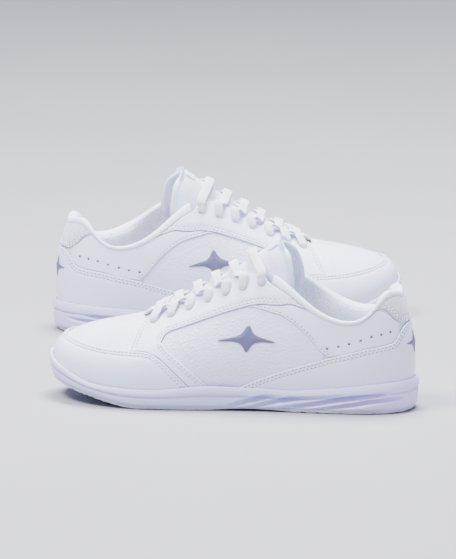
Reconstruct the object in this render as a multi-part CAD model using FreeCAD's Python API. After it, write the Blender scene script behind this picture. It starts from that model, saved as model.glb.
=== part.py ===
"""A pair of low training shoes for cheerleading: every layer, sole part and lace as its own solid.

One left shoe is built in a shoe frame: X from the back of the heel (0) to the toe, Y towards the outer
(lateral) side, Z up from the ground, millimetres. The right shoe is its mirror image. The upper is one
smooth ring-shaped surface, skin(s, t): s goes once round the shoe (0 heel, 1 toe, 2 heel again), and t
climbs from the feather line, where the upper meets the sole (0), to the rim of the opening (1). A layer
of the upper is the space between two distances from that surface.
"""
import FreeCAD, Part

import math
import os
from FreeCAD import Matrix, Placement, Rotation, Vector

# ---- how the pair stands -------------------------------------------------------------------------
YAW = 13.0                # each shoe's heel is turned this far towards the front of the pair, degrees
SPACING = 300.0           # front-to-back distance between the two shoes
MIDDLE_X = 131.0          # the point of a shoe that stands on the pair's centre plane
MIDDLE_Y = 4.2           # centres the pair front to back

# ---- layers, as distances from the skin ----------------------------------------------------------
PAD = (-6.3, -3.1)        # foam round the collar
LINING = (-3.0, -1.0)     # textile lining
STIFFENER = (-0.85, -0.15)
BASE = (0.0, 1.1)         # vamp, side panels, back panel
OVERLAY = (1.25, 2.4)     # leather pieces sewn on top
THICK_OVERLAY = (1.25, 2.6)
EMBLEM = (1.2, 1.9)       # the side emblem, on the side panel
EMBLEM_HEEL = (2.7, 3.3)  # the heel emblem, on the foxing
SEAM = 0.003              # gap between neighbours in one layer, in s (0.3 mm or more)

# ---- sole ----------------------------------------------------------------------------------------
OUTSOLE = 2.5             # thickness of the rubber
BALL_X = 186.0            # the sole is flat up to here and then springs up to the toe
SPRING_RUN = 12.0         # length over which the spring begins
SPRING = 0.21             # slope of the toe spring
ARCH = (80.0, 140.0, 1.4)  # the raised arch: from, to, height
SOLE_OUT = 4.3            # how far the sidewall stands outside the feather line at the ground
OUTSOLE_OUT = 3.2
WALL_IN = 3.1             # inner face of the sidewall, just outside the upper
WALL_LIP = 4.4            # outer face of the sidewall's lip
# floor under the foot: heights of the feather line along the shoe
FLOOR = ((-8, 17.7), (20, 17.4), (42, 16.5), (75, 13.0), (108, 12.0), (142, 12.0), (178, 11.5),
         (216, 13.2), (246, 18.0), (268, 24.5))
BOARD = (0.2, 2.0)
INSOLE = (2.3, 6.5)

# ---- lacing --------------------------------------------------------------------------------------
EYELETS = ((0.700, 0.83), (0.652, 0.86), (0.608, 0.88), (0.565, 0.89), (0.525, 0.885), (0.487, 0.885),
           (0.448, 0.91))
EYELET_R = 2.1
VENTS = ((0.283, 0.575), (0.259, 0.615), (0.235, 0.645), (0.206, 0.655), (0.176, 0.645), (0.146, 0.615),
         (0.116, 0.600))
VENT_R = 0.9
LACE = (6.0, 1.3)         # width and thickness
LACE_IN_HOLE = 3.0
FLANK = 0.66              # where a strand comes out from under the rim, in half widths of the tongue
LACE_LIFT = 2.4           # the upper strand of a crossing is this much higher
AGLET = (1.2, 14.0)       # radius and length of the lace's end tips
RIM_CLEAR = {1: (2.7, 1.5), -1: (3.7, 2.1)}  # a strand's clearance at the rim and at the mouth, by side
LACE_OVER = 2.7           # height of the lower strand's middle over the tongue
SHOULDER = 0.42           # where a strand turns down over the tongue, in half widths
CROSS_FORWARD = 4.5       # strands cross this far ahead of the eyelets, because the throat slopes
CROSS_LEAN = 2.5          # a strand leans this much from its crossing to the tongue's shoulder
LACE_UNDER = -2.1         # the lace's depth under the eyestays
AGLET_TO = (0.53, 0.67)   # where the tucked ends point, on the skin
TAIL_DEPTH = -4.8         # the tucked ends lie between the lining and the tongue

# ---- the upper's shape: feather point, lower handle, upper handle and rim point of each station ---
STATIONS = (
    ((6, 0, 17.5), (4, 0, 38), (6, 0, 61), (14.5, 0, 80.5)),
    ((15.5, 20.5, 17.5), (13.5, 22.8, 38), (13.5, 20.8, 61), (20.5, 16, 81.5)),
    ((42, 29.5, 16.5), (41, 34, 33), (38, 31, 51), (34.5, 27.5, 65)),
    ((75, 31, 13), (74, 37, 31), (71, 34, 55), (66, 29, 71.5)),
    ((108, 33, 12), (106, 41, 32), (104, 36, 63), (102, 17, 93)),
    ((142, 38, 12), (142, 47, 30), (140, 36, 60), (137, 13, 79.5)),
    ((178, 43.5, 11.5), (179, 51, 26), (173, 38, 51.5), (168, 11, 65)),
    ((213, 40, 13), (217, 47, 29.5), (202, 30, 51.5), (185, 9, 58.5)),
    ((241.5, 22.5, 17.5), (247, 26, 40), (220, 17, 50), (190, 4.5, 57)),
    ((253, -6, 22), (259.5, -7, 44.5), (230, -5, 49), (191, -1, 56.5)),
    ((240.5, -30, 17.5), (246, -34, 40), (220, -24, 50), (190, -6.5, 57)),
    ((212, -40, 13), (216, -46, 30.5), (202, -34, 52.5), (185, -10.5, 58.5)),
    ((180, -40, 11.5), (181, -48, 27), (174, -38, 52.5), (168, -12.5, 65)),
    ((144, -31, 12), (144, -42, 31), (141, -36, 61), (137, -14, 79.5)),
    ((108, -27, 12), (106, -37, 33), (104, -35, 64), (102, -18, 93)),
    ((75, -27, 13), (74, -35, 32), (71, -34, 56), (66, -29, 72.5)),
    ((42, -28, 16.5), (41, -33, 34), (38, -31, 52), (34.5, -27.5, 66)),
    ((15.5, -20, 17.5), (13.5, -22.3, 38), (13.5, -20.3, 61), (20.5, -16, 82)),
)
# height of the sidewall's lip on the skin, and how far the sidewall swells, from heel to toe
LIP = (0.065, 0.06, 0.05, 0.05, 0.075, 0.09, 0.06, 0.055, 0.10, 0.115)
SWELL = (5.4, 5.2, 4.8, 4.5, 4.5, 4.7, 5.0, 5.0, 4.7, 4.5)

# ---- the tongue: crest, shoulder, flank and edge of each section, from the vamp to the free top ----
TONGUE = (
    ((203, 0, 47.5), (202.5, 6, 46.8), (200.5, 12, 45), (198, 18, 42)),
    ((184, 0, 58.5), (183.5, 5.5, 57), (181.5, 11, 52), (179, 19, 45)),
    ((158, 0, 73.5), (157, 6.5, 71), (154, 13.5, 62), (151, 22.5, 52.5)),
    ((133, 0, 88), (131.5, 7.5, 84.5), (127.5, 15, 73), (122, 22.5, 61.5)),
    ((108, 0, 105), (106, 8, 101.5), (99.5, 15, 90.5), (90, 19.5, 76)),
    ((103, 0, 108.4), (101, 8, 105.3), (94, 14.8, 95.5), (84, 18.5, 82)),
    ((95, 0, 113.2), (93, 7.5, 111.4), (86.5, 14, 105), (79, 17.5, 97)),
)
TONGUE_SPLIT = 4          # the free top begins at this cross-section
TONGUE_THICK = 4.0
TONGUE_GAP = 0.02         # half of the gap at the split, in sections

ROUND = 18                # stations round the shoe


# ==== curves and surfaces =========================================================================
def ring_controls(points):
    """Control points of the closed cubic spline that passes through the points."""
    controls = [Vector(p) for p in points]
    for _ in range(60):
        for i in range(len(points)):
            before = controls[i - 1]
            after = controls[(i + 1) % len(points)]
            controls[i] = (points[i] * 6 - before - after) * 0.25
    return controls


ROWS = [ring_controls([Vector(*station[row]) for station in STATIONS]) for row in range(4)]


def ring_point(controls, s):
    """The closed spline's point at s, 0 to 2."""
    place = (s * ROUND / 2) % ROUND
    first = int(place)
    f = place - first
    weights = ((1 - f) ** 3 / 6, (3 * f ** 3 - 6 * f * f + 4) / 6,
               (-3 * f ** 3 + 3 * f * f + 3 * f + 1) / 6, f ** 3 / 6)
    total = controls[0] * 0
    for k in range(4):
        total = total + controls[(first - 1 + k) % ROUND] * weights[k]
    return total


def skin(s, t):
    """The upper's reference surface."""
    weights = ((1 - t) ** 3, 3 * t * (1 - t) ** 2, 3 * t * t * (1 - t), t ** 3)
    total = Vector()
    for row, weight in zip(ROWS, weights):
        total = total + ring_point(row, s) * weight
    return total


def outward(s, t, step=0.001):
    """Unit normal of the skin, pointing out of the shoe."""
    round_it = skin(s + step, t) - skin(s - step, t)
    up_it = skin(s, t + step) - skin(s, t - step)
    normal = up_it.cross(round_it)
    normal.normalize()
    return normal


def off_skin(s, t, height):
    return skin(s, t) + outward(s, t) * height


def on_side(s, t, side, height):
    """A point off the skin, on the outer side (1) or the inner side (-1)."""
    return off_skin(s if side > 0 else 2 - s, t, height)


def heel_to_toe(values, s):
    """A smooth value given at the ten stations from heel to toe, the same on both sides."""
    s = s % 2
    place = min(s, 2 - s) * (len(values) - 1)
    first = min(int(place), len(values) - 2)
    f = place - first
    f = f * f * (3 - 2 * f)
    return values[first] + (values[first + 1] - values[first]) * f


def feather_out(s, distance):
    """A point of the feather line moved outwards in plan."""
    normal = outward(s, 0.02)
    normal.z = 0
    normal.normalize()
    return skin(s, 0) + normal * distance


def sole_bottom(x):
    """Height of the outsole's underside, without the arch."""
    run = x - BALL_X
    if run <= 0:
        return 0.0
    if run < SPRING_RUN:
        return SPRING * run * run / (2 * SPRING_RUN)
    return SPRING * (run - SPRING_RUN / 2)


def trace(count, *runs):
    """Points at equal steps along smooth runs through (s, t) points; runs meet in corners."""
    around, up = 130.0, 80.0
    curves = []
    for run in runs:
        curve = Part.BSplineCurve()
        curve.interpolate([Vector(s * around, t * up, 0) for s, t in run])
        curves.append(curve.toShape())
    total = sum(curve.Length for curve in curves)
    points = []
    for i in range(count):
        reach = total * i / (count - 1)
        for curve in curves:
            if reach <= curve.Length + 1e-6 or curve is curves[-1]:
                break
            reach -= curve.Length
        spot = curve.valueAt(curve.getParameterByLength(min(reach, curve.Length)))
        points.append((spot.x / around, spot.y / up))
    return points


# ==== solids ======================================================================================
def closed_solid(faces):
    shell = Part.Shell(faces)
    shell.sewShape(1e-3)
    solid = Part.Solid(Part.Shell(shell.Faces))
    if solid.Volume < 0:
        solid.reverse()
    return solid


def block(place, columns, rows, ring=False):
    """The solid between place(a, b, 0) and place(a, b, 1), for a and b from 0 to 1."""
    nets = []
    for side in (0, 1):
        net = Part.BSplineSurface()
        net.interpolate([[place(a / columns, b / rows, side) for b in range(rows + 1)]
                         for a in range(columns + 1)])
        nets.append(net)
    faces = [net.toShape() for net in nets]
    edges = [lambda net: net.vIso(net.bounds()[2]), lambda net: net.vIso(net.bounds()[3])]
    if not ring:
        edges += [lambda net: net.uIso(net.bounds()[0]), lambda net: net.uIso(net.bounds()[1])]
    for edge in edges:
        faces.append(Part.makeRuledSurface(edge(nets[0]).toShape(), edge(nets[1]).toShape()))
    return closed_solid(faces)


def panel(lower, upper, layer, rows=6, side=1):
    """A piece of a layer between two lines of (s, t) points, on the outer side (1) or the inner one."""
    columns = len(lower) - 1

    def place(a, b, face):
        i = round(a * columns)
        s = lower[i][0] + (upper[i][0] - lower[i][0]) * b
        t = lower[i][1] + (upper[i][1] - lower[i][1]) * b
        return on_side(s, t, side, layer[face])

    return block(place, columns, rows)


def line(count, start, end, t):
    """(s, t) points from s start to s end; t is a number or a function of s."""
    points = []
    for i in range(count):
        s = start + (end - start) * i / (count - 1)
        points.append((s, t(s) if callable(t) else t))
    return points


def plan_prism(outside, count=36):
    """Everything inside the feather line moved outwards by a distance."""
    points = [feather_out(2 * k / count, outside) for k in range(count)]
    curve = Part.BSplineCurve()
    curve.interpolate([Vector(p.x, p.y, -5) for p in points], PeriodicFlag=True)
    return Part.Face(Part.Wire(curve.toShape())).extrude(Vector(0, 0, 70))


def side_slab(edges):
    """A side-view outline, closed by the edges, stretched across the shoe."""
    face = Part.Face(Part.Wire(Part.__sortEdges__(edges)))
    face.translate(Vector(0, -80, 0))
    return face.extrude(Vector(0, 160, 0))


def side_view(x, z):
    return Vector(x, 0, z)


def straight(a, b):
    return Part.LineSegment(a, b).toShape()


def sole_line(raise_by, start_x=-10.0, end_x=275.0):
    """The flat, the bend and the toe spring, raised; as edges from heel to toe."""
    bend = BALL_X + SPRING_RUN
    points = [side_view(start_x, raise_by), side_view(BALL_X, raise_by),
              side_view(bend, sole_bottom(bend) + raise_by),
              side_view(end_x, sole_bottom(end_x) + raise_by)]
    middle = side_view(BALL_X + SPRING_RUN / 2, sole_bottom(BALL_X + SPRING_RUN / 2) + raise_by)
    edges = [straight(points[0], points[1]), Part.Arc(points[1], middle, points[2]).toShape(),
             straight(points[2], points[3])]
    return edges, points


def floor_line(raise_by):
    curve = Part.BSplineCurve()
    curve.interpolate([side_view(x, z + raise_by) for x, z in FLOOR])
    return curve.toShape()


def floor_slab(low, high):
    """The space between two heights over the floor under the foot."""
    bottom = floor_line(low)
    top = floor_line(high)
    ends = [straight(bottom.Vertexes[i].Point, top.Vertexes[i].Point) for i in (0, -1)]
    return side_slab([bottom, top] + ends)


# ==== the sole ====================================================================================
def make_outsole():
    bevel_x, bevel_z = 8.0, 1.9
    edges, points = sole_line(0.0)
    top_edges, top_points = sole_line(OUTSOLE)
    arch_start, arch_end, arch_height = ARCH
    arch_middle = (arch_start + arch_end) / 2
    heel = [side_view(-10, 1.0 + bevel_z), side_view(2.5, bevel_z), side_view(bevel_x, 0)]
    bottom = [straight(heel[0], heel[1]), straight(heel[1], heel[2]),
              straight(heel[2], side_view(arch_start, 0)),
              Part.Arc(side_view(arch_start, 0), side_view(arch_middle, arch_height),
                       side_view(arch_end, 0)).toShape(),
              straight(side_view(arch_end, 0), points[1])] + edges[1:]
    top_edges[0] = straight(side_view(-10, 3.6), side_view(2.0, OUTSOLE))
    top_edges.insert(1, straight(side_view(2.0, OUTSOLE), top_points[1]))
    ends = [straight(heel[0], side_view(-10, 3.6)), straight(points[3], top_points[3])]
    return plan_prism(OUTSOLE_OUT).common(side_slab(bottom + top_edges + ends))


def make_midsole():
    """The moulded sidewall that cups the upper, all the way round."""
    def place(a, b, side):
        s = 0.5 + 2 * a
        lip_t = heel_to_toe(LIP, s)
        if side == 0:
            inner = [feather_out(s, WALL_IN), off_skin(s, 0, WALL_IN), off_skin(s, lip_t, WALL_IN)]
            inner[0].z = sole_bottom(inner[0].x) + OUTSOLE + 0.1
            if b < 0.5:
                return inner[0] + (inner[1] - inner[0]) * (b * 2)
            return inner[1] + (inner[2] - inner[1]) * (b * 2 - 1)
        low = feather_out(s, SOLE_OUT)
        low.z = sole_bottom(low.x) + OUTSOLE + 0.1
        lip = off_skin(s, lip_t, WALL_LIP)
        belly = feather_out(s, heel_to_toe(SWELL, s) + 1.2)
        belly.z = (low.z + lip.z) / 2
        return low * (1 - b) ** 2 + belly * (2 * b * (1 - b)) + lip * b * b

    return block(place, 72, 4, ring=True)


def make_core():
    bottom, low = sole_line(OUTSOLE + 0.15)
    top = floor_line(-0.8)
    ends = [straight(low[0], top.Vertexes[0].Point), straight(low[3], top.Vertexes[-1].Point)]
    return plan_prism(1.0).common(side_slab(bottom + [top] + ends))


def make_board():
    return plan_prism(-3.6).common(floor_slab(*BOARD))


def make_insole():
    return plan_prism(-4.2).common(floor_slab(*INSOLE))


# ==== the upper ===================================================================================
def top_of_lining(s):
    """The lining reaches the collar's binding, and stops short of the eyelets."""
    side = min(s % 2, 2 - s % 2)
    collar, throat = 0.925, 0.76
    rise = min(1.0, max(0.0, (side - 0.38) / 0.07))
    return collar + (throat - collar) * rise * rise * (3 - 2 * rise)


def make_lining():
    def place(a, b, side):
        s = 0.5 + 2 * a
        return off_skin(s, 0.015 + (top_of_lining(s) - 0.015) * b, LINING[side])

    return block(place, 72, 7, ring=True)


COLLAR_END = 0.425        # s where the collar's binding meets the eyestay's top
COLLAR_T = 0.93           # top of the leather along the collar


def top_of_base(s):
    side = min(s % 2, 2 - s % 2)
    rise = min(1.0, max(0.0, (side - COLLAR_END - 0.008) / 0.02))
    return COLLAR_T + (1.0 - COLLAR_T) * rise * rise * (3 - 2 * rise)


def make_binding():
    def place(a, b, side):
        s = -COLLAR_END + 2 * COLLAR_END * a
        pad_here = 1 if abs(s) < 0.31 else max(0.0, 1 - (abs(s) - 0.31) / 0.06)
        inside = LINING[0] + (PAD[0] - LINING[0]) * pad_here
        t = COLLAR_T + 0.008 + (1.0 - COLLAR_T - 0.008) * b
        return off_skin(s, t, OVERLAY[1] if side else inside)

    return block(place, 40, 3)


WINDOW_REAR = ((0.283, 0.36), (0.290, 0.44), (0.300, 0.54), (0.318, 0.62), (0.347, 0.70), (0.385, 0.735),
               (0.430, 0.728), (0.475, 0.74))
STAY_LOW = ((0.349, 0.92), (0.378, 0.875), (0.41, 0.80), (0.45, 0.766), (0.50, 0.735), (0.565, 0.716),
            (0.62, 0.70), (0.648, 0.675), (0.656, 0.63))
LEG_REAR = ((0.655, 0.59), (0.640, 0.51), (0.610, 0.39), (0.580, 0.26), (0.552, 0.13), (0.535, 0.03))
LEG_FRONT = ((0.745, 0.93), (0.738, 0.80), (0.728, 0.64), (0.722, 0.53), (0.68, 0.505), (0.645, 0.42),
             (0.610, 0.27), (0.582, 0.12), (0.568, 0.03))
GUARD_TOP = ((0.575, 0.03), (0.589, 0.12), (0.617, 0.27), (0.652, 0.42), (0.688, 0.49), (0.75, 0.48),
             (0.84, 0.445), (0.92, 0.415), (1.0, 0.41))
FOXING_TOP = ((0.49, 0.04), (0.444, 0.14), (0.397, 0.225), (0.33, 0.344), (0.26, 0.48), (0.20, 0.52),
              (0.14, 0.483), (0.105, 0.49), (0.080, 0.57), (0.045, 0.64), (0.0, 0.66))
TAB_LOW = ((0.150, 0.925), (0.118, 0.81), (0.094, 0.71), (0.060, 0.665), (0.0, 0.68))
GAP = 0.008


def shifted(points, ds, dt):
    return [(s + ds, t + dt) for s, t in points]


def both_ways(points):
    """A line given from one side to s = 0 or 1, continued on the other side."""
    turn = points[-1][0]
    return list(points) + [(2 * turn - s, t) for s, t in reversed(points[:-1])]


def make_vamp():
    start, end = 0.70 + SEAM, 1.30 - SEAM
    return panel(line(31, start, end, 0.0), line(31, start, end, 0.985), BASE, rows=8)


def make_side_panel(side):
    start, end = 0.285 + SEAM, 0.70 - SEAM
    return panel(line(29, start, end, 0.0), line(29, start, end, top_of_base), BASE, 8, side)


def make_back_panel():
    return panel(line(29, -0.285, 0.285, 0.0), line(29, -0.285, 0.285, COLLAR_T), BASE, rows=8)


def make_mudguard():
    top = trace(49, both_ways(GUARD_TOP))
    bottom = line(49, top[0][0], top[-1][0], 0.0)
    return panel(bottom, top, THICK_OVERLAY, rows=6)


def make_foxing():
    top = trace(49, both_ways(FOXING_TOP))
    bottom = line(49, top[0][0], top[-1][0], 0.0)
    return panel(bottom, top, THICK_OVERLAY, rows=6)


def make_heel_tab():
    low = trace(29, both_ways(TAB_LOW))
    high = line(29, low[0][0], low[-1][0], COLLAR_T)
    return panel(low, high, OVERLAY, rows=4)


def make_rear_quarter(side):
    """Between the foxing, the window, the eyestay, the collar and the heel tab."""
    foxing = [p for p in FOXING_TOP if 0.08 <= p[0] <= 0.27]
    low = trace(41, shifted(list(reversed(foxing)) + [(0.277, 0.47)], 0, GAP * 3.2),
                shifted([(0.277, 0.47)] + list(WINDOW_REAR[2:]), 0, GAP * 3.2))
    high = trace(41, [(0.084, 0.69), (0.102, 0.72), (0.125, 0.80), (0.158, 0.92)],
                 [(0.158, 0.92), (0.24, COLLAR_T), (0.335, COLLAR_T)],
                 shifted(STAY_LOW[:5], -0.004, -0.014))
    return panel(low, high, (OVERLAY[0], OVERLAY[1] - 0.3), 5, side)


def make_eyestay(side):
    """The lace stay and its front leg, which meet in a seam at the window's front corner."""
    low = trace(49, STAY_LOW)
    rim = trace(49, [(0.355, 0.925), (0.40, 0.926), (COLLAR_END + 0.006, 0.930), (0.455, 0.97), (0.50, 0.985),
                     (0.60, 0.985), (0.681, 0.985)])
    stay = panel(low, rim, OVERLAY, 5, side)
    leg_rear = trace(41, [(0.685, 0.985), (0.661, 0.63)] + list(LEG_REAR))
    leg_front = trace(41, [(0.750, 0.985)] + list(LEG_FRONT))
    leg = panel(leg_rear, leg_front, OVERLAY, 5, side)
    return Part.Compound([stay, leg])


def star(centre, wide, tall, layer, side=1):
    """A four-pointed star lying on the skin: half sizes in s and t, with hollow sides."""
    s, t = centre
    waist = 0.30
    blunt = 0.004
    halves = []
    for way in (-1, 1):
        halves.append(trace(25, [(s - wide, t + way * blunt), (s - wide * waist, t + way * tall * waist),
                                 (s - wide * 0.03, t + way * tall)],
                            [(s - wide * 0.03, t + way * tall), (s + wide * 0.03, t + way * tall)],
                            [(s + wide * 0.03, t + way * tall), (s + wide * waist, t + way * tall * waist),
                             (s + wide, t + way * blunt)]))
    return panel(halves[0], halves[1], layer, 3, side)


def make_side_emblem(side):
    return star((0.464, 0.508), 0.062, 0.105, EMBLEM, side)


# ==== the tongue ==================================================================================
def tongue_point(u, v, depth):
    """u counts cross-sections from the vamp, v goes from one edge (-1) to the other (1)."""
    def through(points, place):
        """Catmull-Rom through points, with straight ends."""
        first = min(int(place), len(points) - 2)
        f = place - first
        p1, p2 = points[first], points[first + 1]
        p0 = points[first - 1] if first else p1 * 2 - p2
        p3 = points[first + 2] if first + 2 < len(points) else p2 * 2 - p1
        return (p1 * 2 + (p2 - p0) * f + (p0 * 2 - p1 * 5 + p2 * 4 - p3) * (f * f)
                + (p1 * 3 - p0 - p2 * 3 + p3) * f ** 3) * 0.5

    def outer(u, v):
        place = (v + 1) * 3
        rows = []
        for k in range(len(TONGUE)):
            half = [Vector(*p) for p in TONGUE[k]]
            mirror = [Vector(p.x, -p.y, p.z) for p in reversed(half[1:])]
            rows.append(through(mirror + half, place))
        return through(rows, u)

    step = 0.02
    low_u, high_u = max(0.0, u - step), min(len(TONGUE) - 1.0, u + step)
    low_v, high_v = max(-1.0, v - step), min(1.0, v + step)
    along = outer(high_u, v) - outer(low_u, v)
    over = outer(u, high_v) - outer(u, low_v)
    inward = along.cross(over)
    inward.normalize()
    return outer(u, v) + inward * depth


def tongue_piece(start, end, columns, half_v=1.0, depths=(0.0, TONGUE_THICK)):
    def place(a, b, side):
        return tongue_point(start + (end - start) * a, (2 * b - 1) * half_v, depths[side])

    return block(place, columns, 16)


# ==== the lace ====================================================================================
def over_tongue(x, v, above):
    """A point above the tongue, at the section whose crest is at x along the shoe."""
    crests = [section[0][0] for section in TONGUE]
    for k in range(len(crests) - 1):
        if crests[k + 1] <= x <= crests[k]:
            return tongue_point(k + (crests[k] - x) / (crests[k] - crests[k + 1]), v, -above)
    raise ValueError(x)


def eyelet(k, side, height):
    s, t = EYELETS[k]
    return on_side(s, t, side, height)


def band(stops):
    """A flat strip of lace through (point, width) stops."""
    throat = eyelet(0, 1, 0) - eyelet(6, 1, 0)
    throat.y = 0
    wires = []
    for i, (spot, width) in enumerate(stops):
        along = stops[min(len(stops) - 1, i + 1)][0] - stops[max(0, i - 1)][0]
        along.normalize()
        wide = throat - along * throat.dot(along)
        wide.normalize()
        thick = along.cross(wide)
        corners = [spot + wide * (width / 2 * a) + thick * (LACE[1] / 2 * b)
                   for a, b in ((-1, -1), (1, -1), (1, 1), (-1, 1))]
        wires.append(Part.makePolygon(corners + corners[:1]))
    strip = Part.makeLoft(wires, True, True)
    if strip.Volume < 0:
        strip.reverse()
    return strip


def into_eyelet(k, side):
    """A strand's last stops: over the rim and down to the eyelet's mouth."""
    s, t = EYELETS[k]
    over = OVERLAY[1] + LACE[1] / 2
    at_rim, at_mouth = RIM_CLEAR[side]
    return [(on_side(s, (t + 1) / 2 + 0.02, side, over + at_rim), LACE[0]),
            (on_side(s, t + 0.025, side, over + at_mouth), LACE_IN_HOLE + 1.5),
            (on_side(s, t, side, over + 0.1), LACE_IN_HOLE)]


def over_the_tongue(x, side, height, lean, ends):
    """Stops over the tongue from one shoulder to the other; ends raise the two shoulders."""
    stops = []
    for step in (1, 0.5, 0, -0.5, -1):
        extra = ends[0 if step > 0 else 1] * step * step
        stops.append((over_tongue(x + step * lean, side * step * SHOULDER, height + extra), LACE[0]))
    return stops


def make_lace():
    """The lace as it shows: a bar across the lowest eyelets, crossing strands, and the hidden runs."""
    lowest_x = eyelet(0, 1, 0).x + 5.0
    bar = over_the_tongue(lowest_x, 1, LACE_OVER + 0.6, 0, (4.2, 4.2))
    strips = [band(into_eyelet(0, 1)[::-1] + bar + into_eyelet(0, -1))]
    for k in range(len(EYELETS) - 1):
        cross_x = (eyelet(k, 1, 0).x + eyelet(k + 1, 1, 0).x) / 2 + CROSS_FORWARD
        for side, lift in ((1, 0.0), (-1, LACE_LIFT)):
            start = [(over_tongue(cross_x + CROSS_LEAN * 1.6, side * FLANK, 1.0), LACE[0])]
            rise = max(0.6, 3.8 - 1.4 * k)
            middle = over_the_tongue(cross_x, side, LACE_OVER + lift, CROSS_LEAN, (-0.9, rise))
            strips.append(band(start + middle + into_eyelet(k + 1, -side)))
    aglets = []
    for side in (1, -1):
        for s, t in EYELETS[:-1]:
            strips.append(band([(on_side(s, t - 0.01, side, LACE_UNDER), LACE_IN_HOLE),
                                (on_side(s, 0.955, side, LACE_UNDER), LACE_IN_HOLE)]))
        tail = ((0.450, 0.90, LACE_UNDER), (0.458, 0.84, -3.4), (0.478, 0.78, TAIL_DEPTH),
                (0.50, 0.73, TAIL_DEPTH))
        strips.append(band([(on_side(s, t, side, depth), LACE_IN_HOLE) for s, t, depth in tail]))
        end = on_side(0.503, 0.723, side, TAIL_DEPTH)
        way = on_side(AGLET_TO[0], AGLET_TO[1], side, TAIL_DEPTH) - end
        aglets.append(Part.makeCylinder(AGLET[0], AGLET[1], end, way))
    return Part.Compound(strips), Part.Compound(aglets)


def eyelet_holes(side):
    """Cutters for the seven eyelets of one side."""
    holes = []
    for k in range(len(EYELETS)):
        low = eyelet(k, side, -1.0)
        high = eyelet(k, side, 4.0)
        holes.append(Part.makeCylinder(EYELET_R, (high - low).Length, low, high - low))
    return holes


# ==== one shoe ====================================================================================
def stiffener(start, end, low, high):
    return panel(line(25, start, end, low), line(25, start, end, high), STIFFENER)


def make_pad():
    return panel(line(33, -0.30, 0.30, 0.62), line(33, -0.30, 0.30, COLLAR_T), PAD, rows=4)


def perforations(side):
    """Cutters for the row of vent holes in a rear quarter."""
    holes = []
    for s, t in VENTS:
        low = on_side(s, t, side, 0.5)
        high = on_side(s, t, side, 4.0)
        holes.append(Part.makeCylinder(VENT_R, (high - low).Length, low, high - low))
    return holes


def both_sides(piece, cutters=None):
    """A piece of the outer side and its twin on the inner side, with their holes cut."""
    pair = {}
    for word, side in (("lateral", 1), ("medial", -1)):
        shape = piece(side)
        if cutters:
            shape = shape.cut(Part.Compound(cutters(side)))
        pair[word] = shape
    return pair


def make_shoe():
    """Every sub-part of a left shoe, in the shoe frame."""
    shoe = {
        "outsole": make_outsole(),
        "midsole": make_midsole(),
        "midsole_core": make_core(),
        "lasting_board": make_board(),
        "insole": make_insole(),
        "lining": make_lining(),
        "collar_pad": make_pad(),
        "collar_binding": make_binding(),
        "toe_stiffener": stiffener(0.84, 1.16, 0.04, 0.42),
        "heel_stiffener": stiffener(-0.27, 0.27, 0.04, 0.56),
        "vamp": make_vamp(),
        "back_panel": make_back_panel(),
        "mudguard": make_mudguard(),
        "heel_foxing": make_foxing(),
        "heel_tab": make_heel_tab(),
        "heel_emblem": star((0.0, 0.445), 0.055, 0.115, EMBLEM_HEEL),
        "tongue": tongue_piece(0.0, TONGUE_SPLIT - TONGUE_GAP, 16),
        "tongue_top": tongue_piece(TONGUE_SPLIT + TONGUE_GAP, len(TONGUE) - 1.0, 12),
        "tongue_label": tongue_piece(4.75, 5.75, 6, 0.30, (-1.5, -0.6)),
        "lace_keeper": tongue_piece(2.7, 3.0, 3, 0.22, (-0.9, -0.1)),
    }
    for name, piece, cutters in (("side_panel", make_side_panel, eyelet_holes),
                                 ("eyestay", make_eyestay, eyelet_holes),
                                 ("rear_quarter", make_rear_quarter, perforations),
                                 ("side_emblem", make_side_emblem, None)):
        for word, shape in both_sides(piece, cutters).items():
            shoe[name + "_" + word] = shape
    shoe["lace"], shoe["aglets"] = make_lace()
    return shoe


def place_pair(shoe):
    """The left shoe points to -X and the right one, its mirror image, to +X; the origin is centred."""
    nodes = {}
    for side, flip, turn, shift in (("left", 1, 180.0 - YAW, -SPACING / 2), ("right", -1, YAW, SPACING / 2)):
        for name, shape in shoe.items():
            copy = shape if flip > 0 else shape.mirror(Vector(), Vector(0, 1, 0))
            copy = copy.copy()
            spin = Rotation(Vector(0, 0, 1), turn)
            away = spin.multVec(Vector(-MIDDLE_X, 0, 0)) + Vector(0, shift - MIDDLE_Y, 0)
            copy.Placement = Placement(away, spin).multiply(copy.Placement)
            nodes[side + "_" + name] = copy
    return nodes


def main():
    os.makedirs("parts", exist_ok=True)
    for name, shape in place_pair(make_shoe()).items():
        shape.exportStep("parts/" + name + ".step")


if __name__ == "__main__":
    main()
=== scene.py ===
"""A pair of low cheerleading shoes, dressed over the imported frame.

Every piece is worked out once for the left shoe, in the shoe frame of the design (X heel to toe, Y to the
outer side, Z up, millimetres), and is then placed twice: turned for the left shoe, mirrored for the right.
The upper is one smooth ring-shaped surface, skin(s, t): s goes once round the shoe (0 heel, 1 toe), and t
climbs from the feather line (0) to the rim of the opening (1).
"""

import math

import bpy
import numpy as np
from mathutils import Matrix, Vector
from mathutils.geometry import delaunay_2d_cdt


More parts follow.
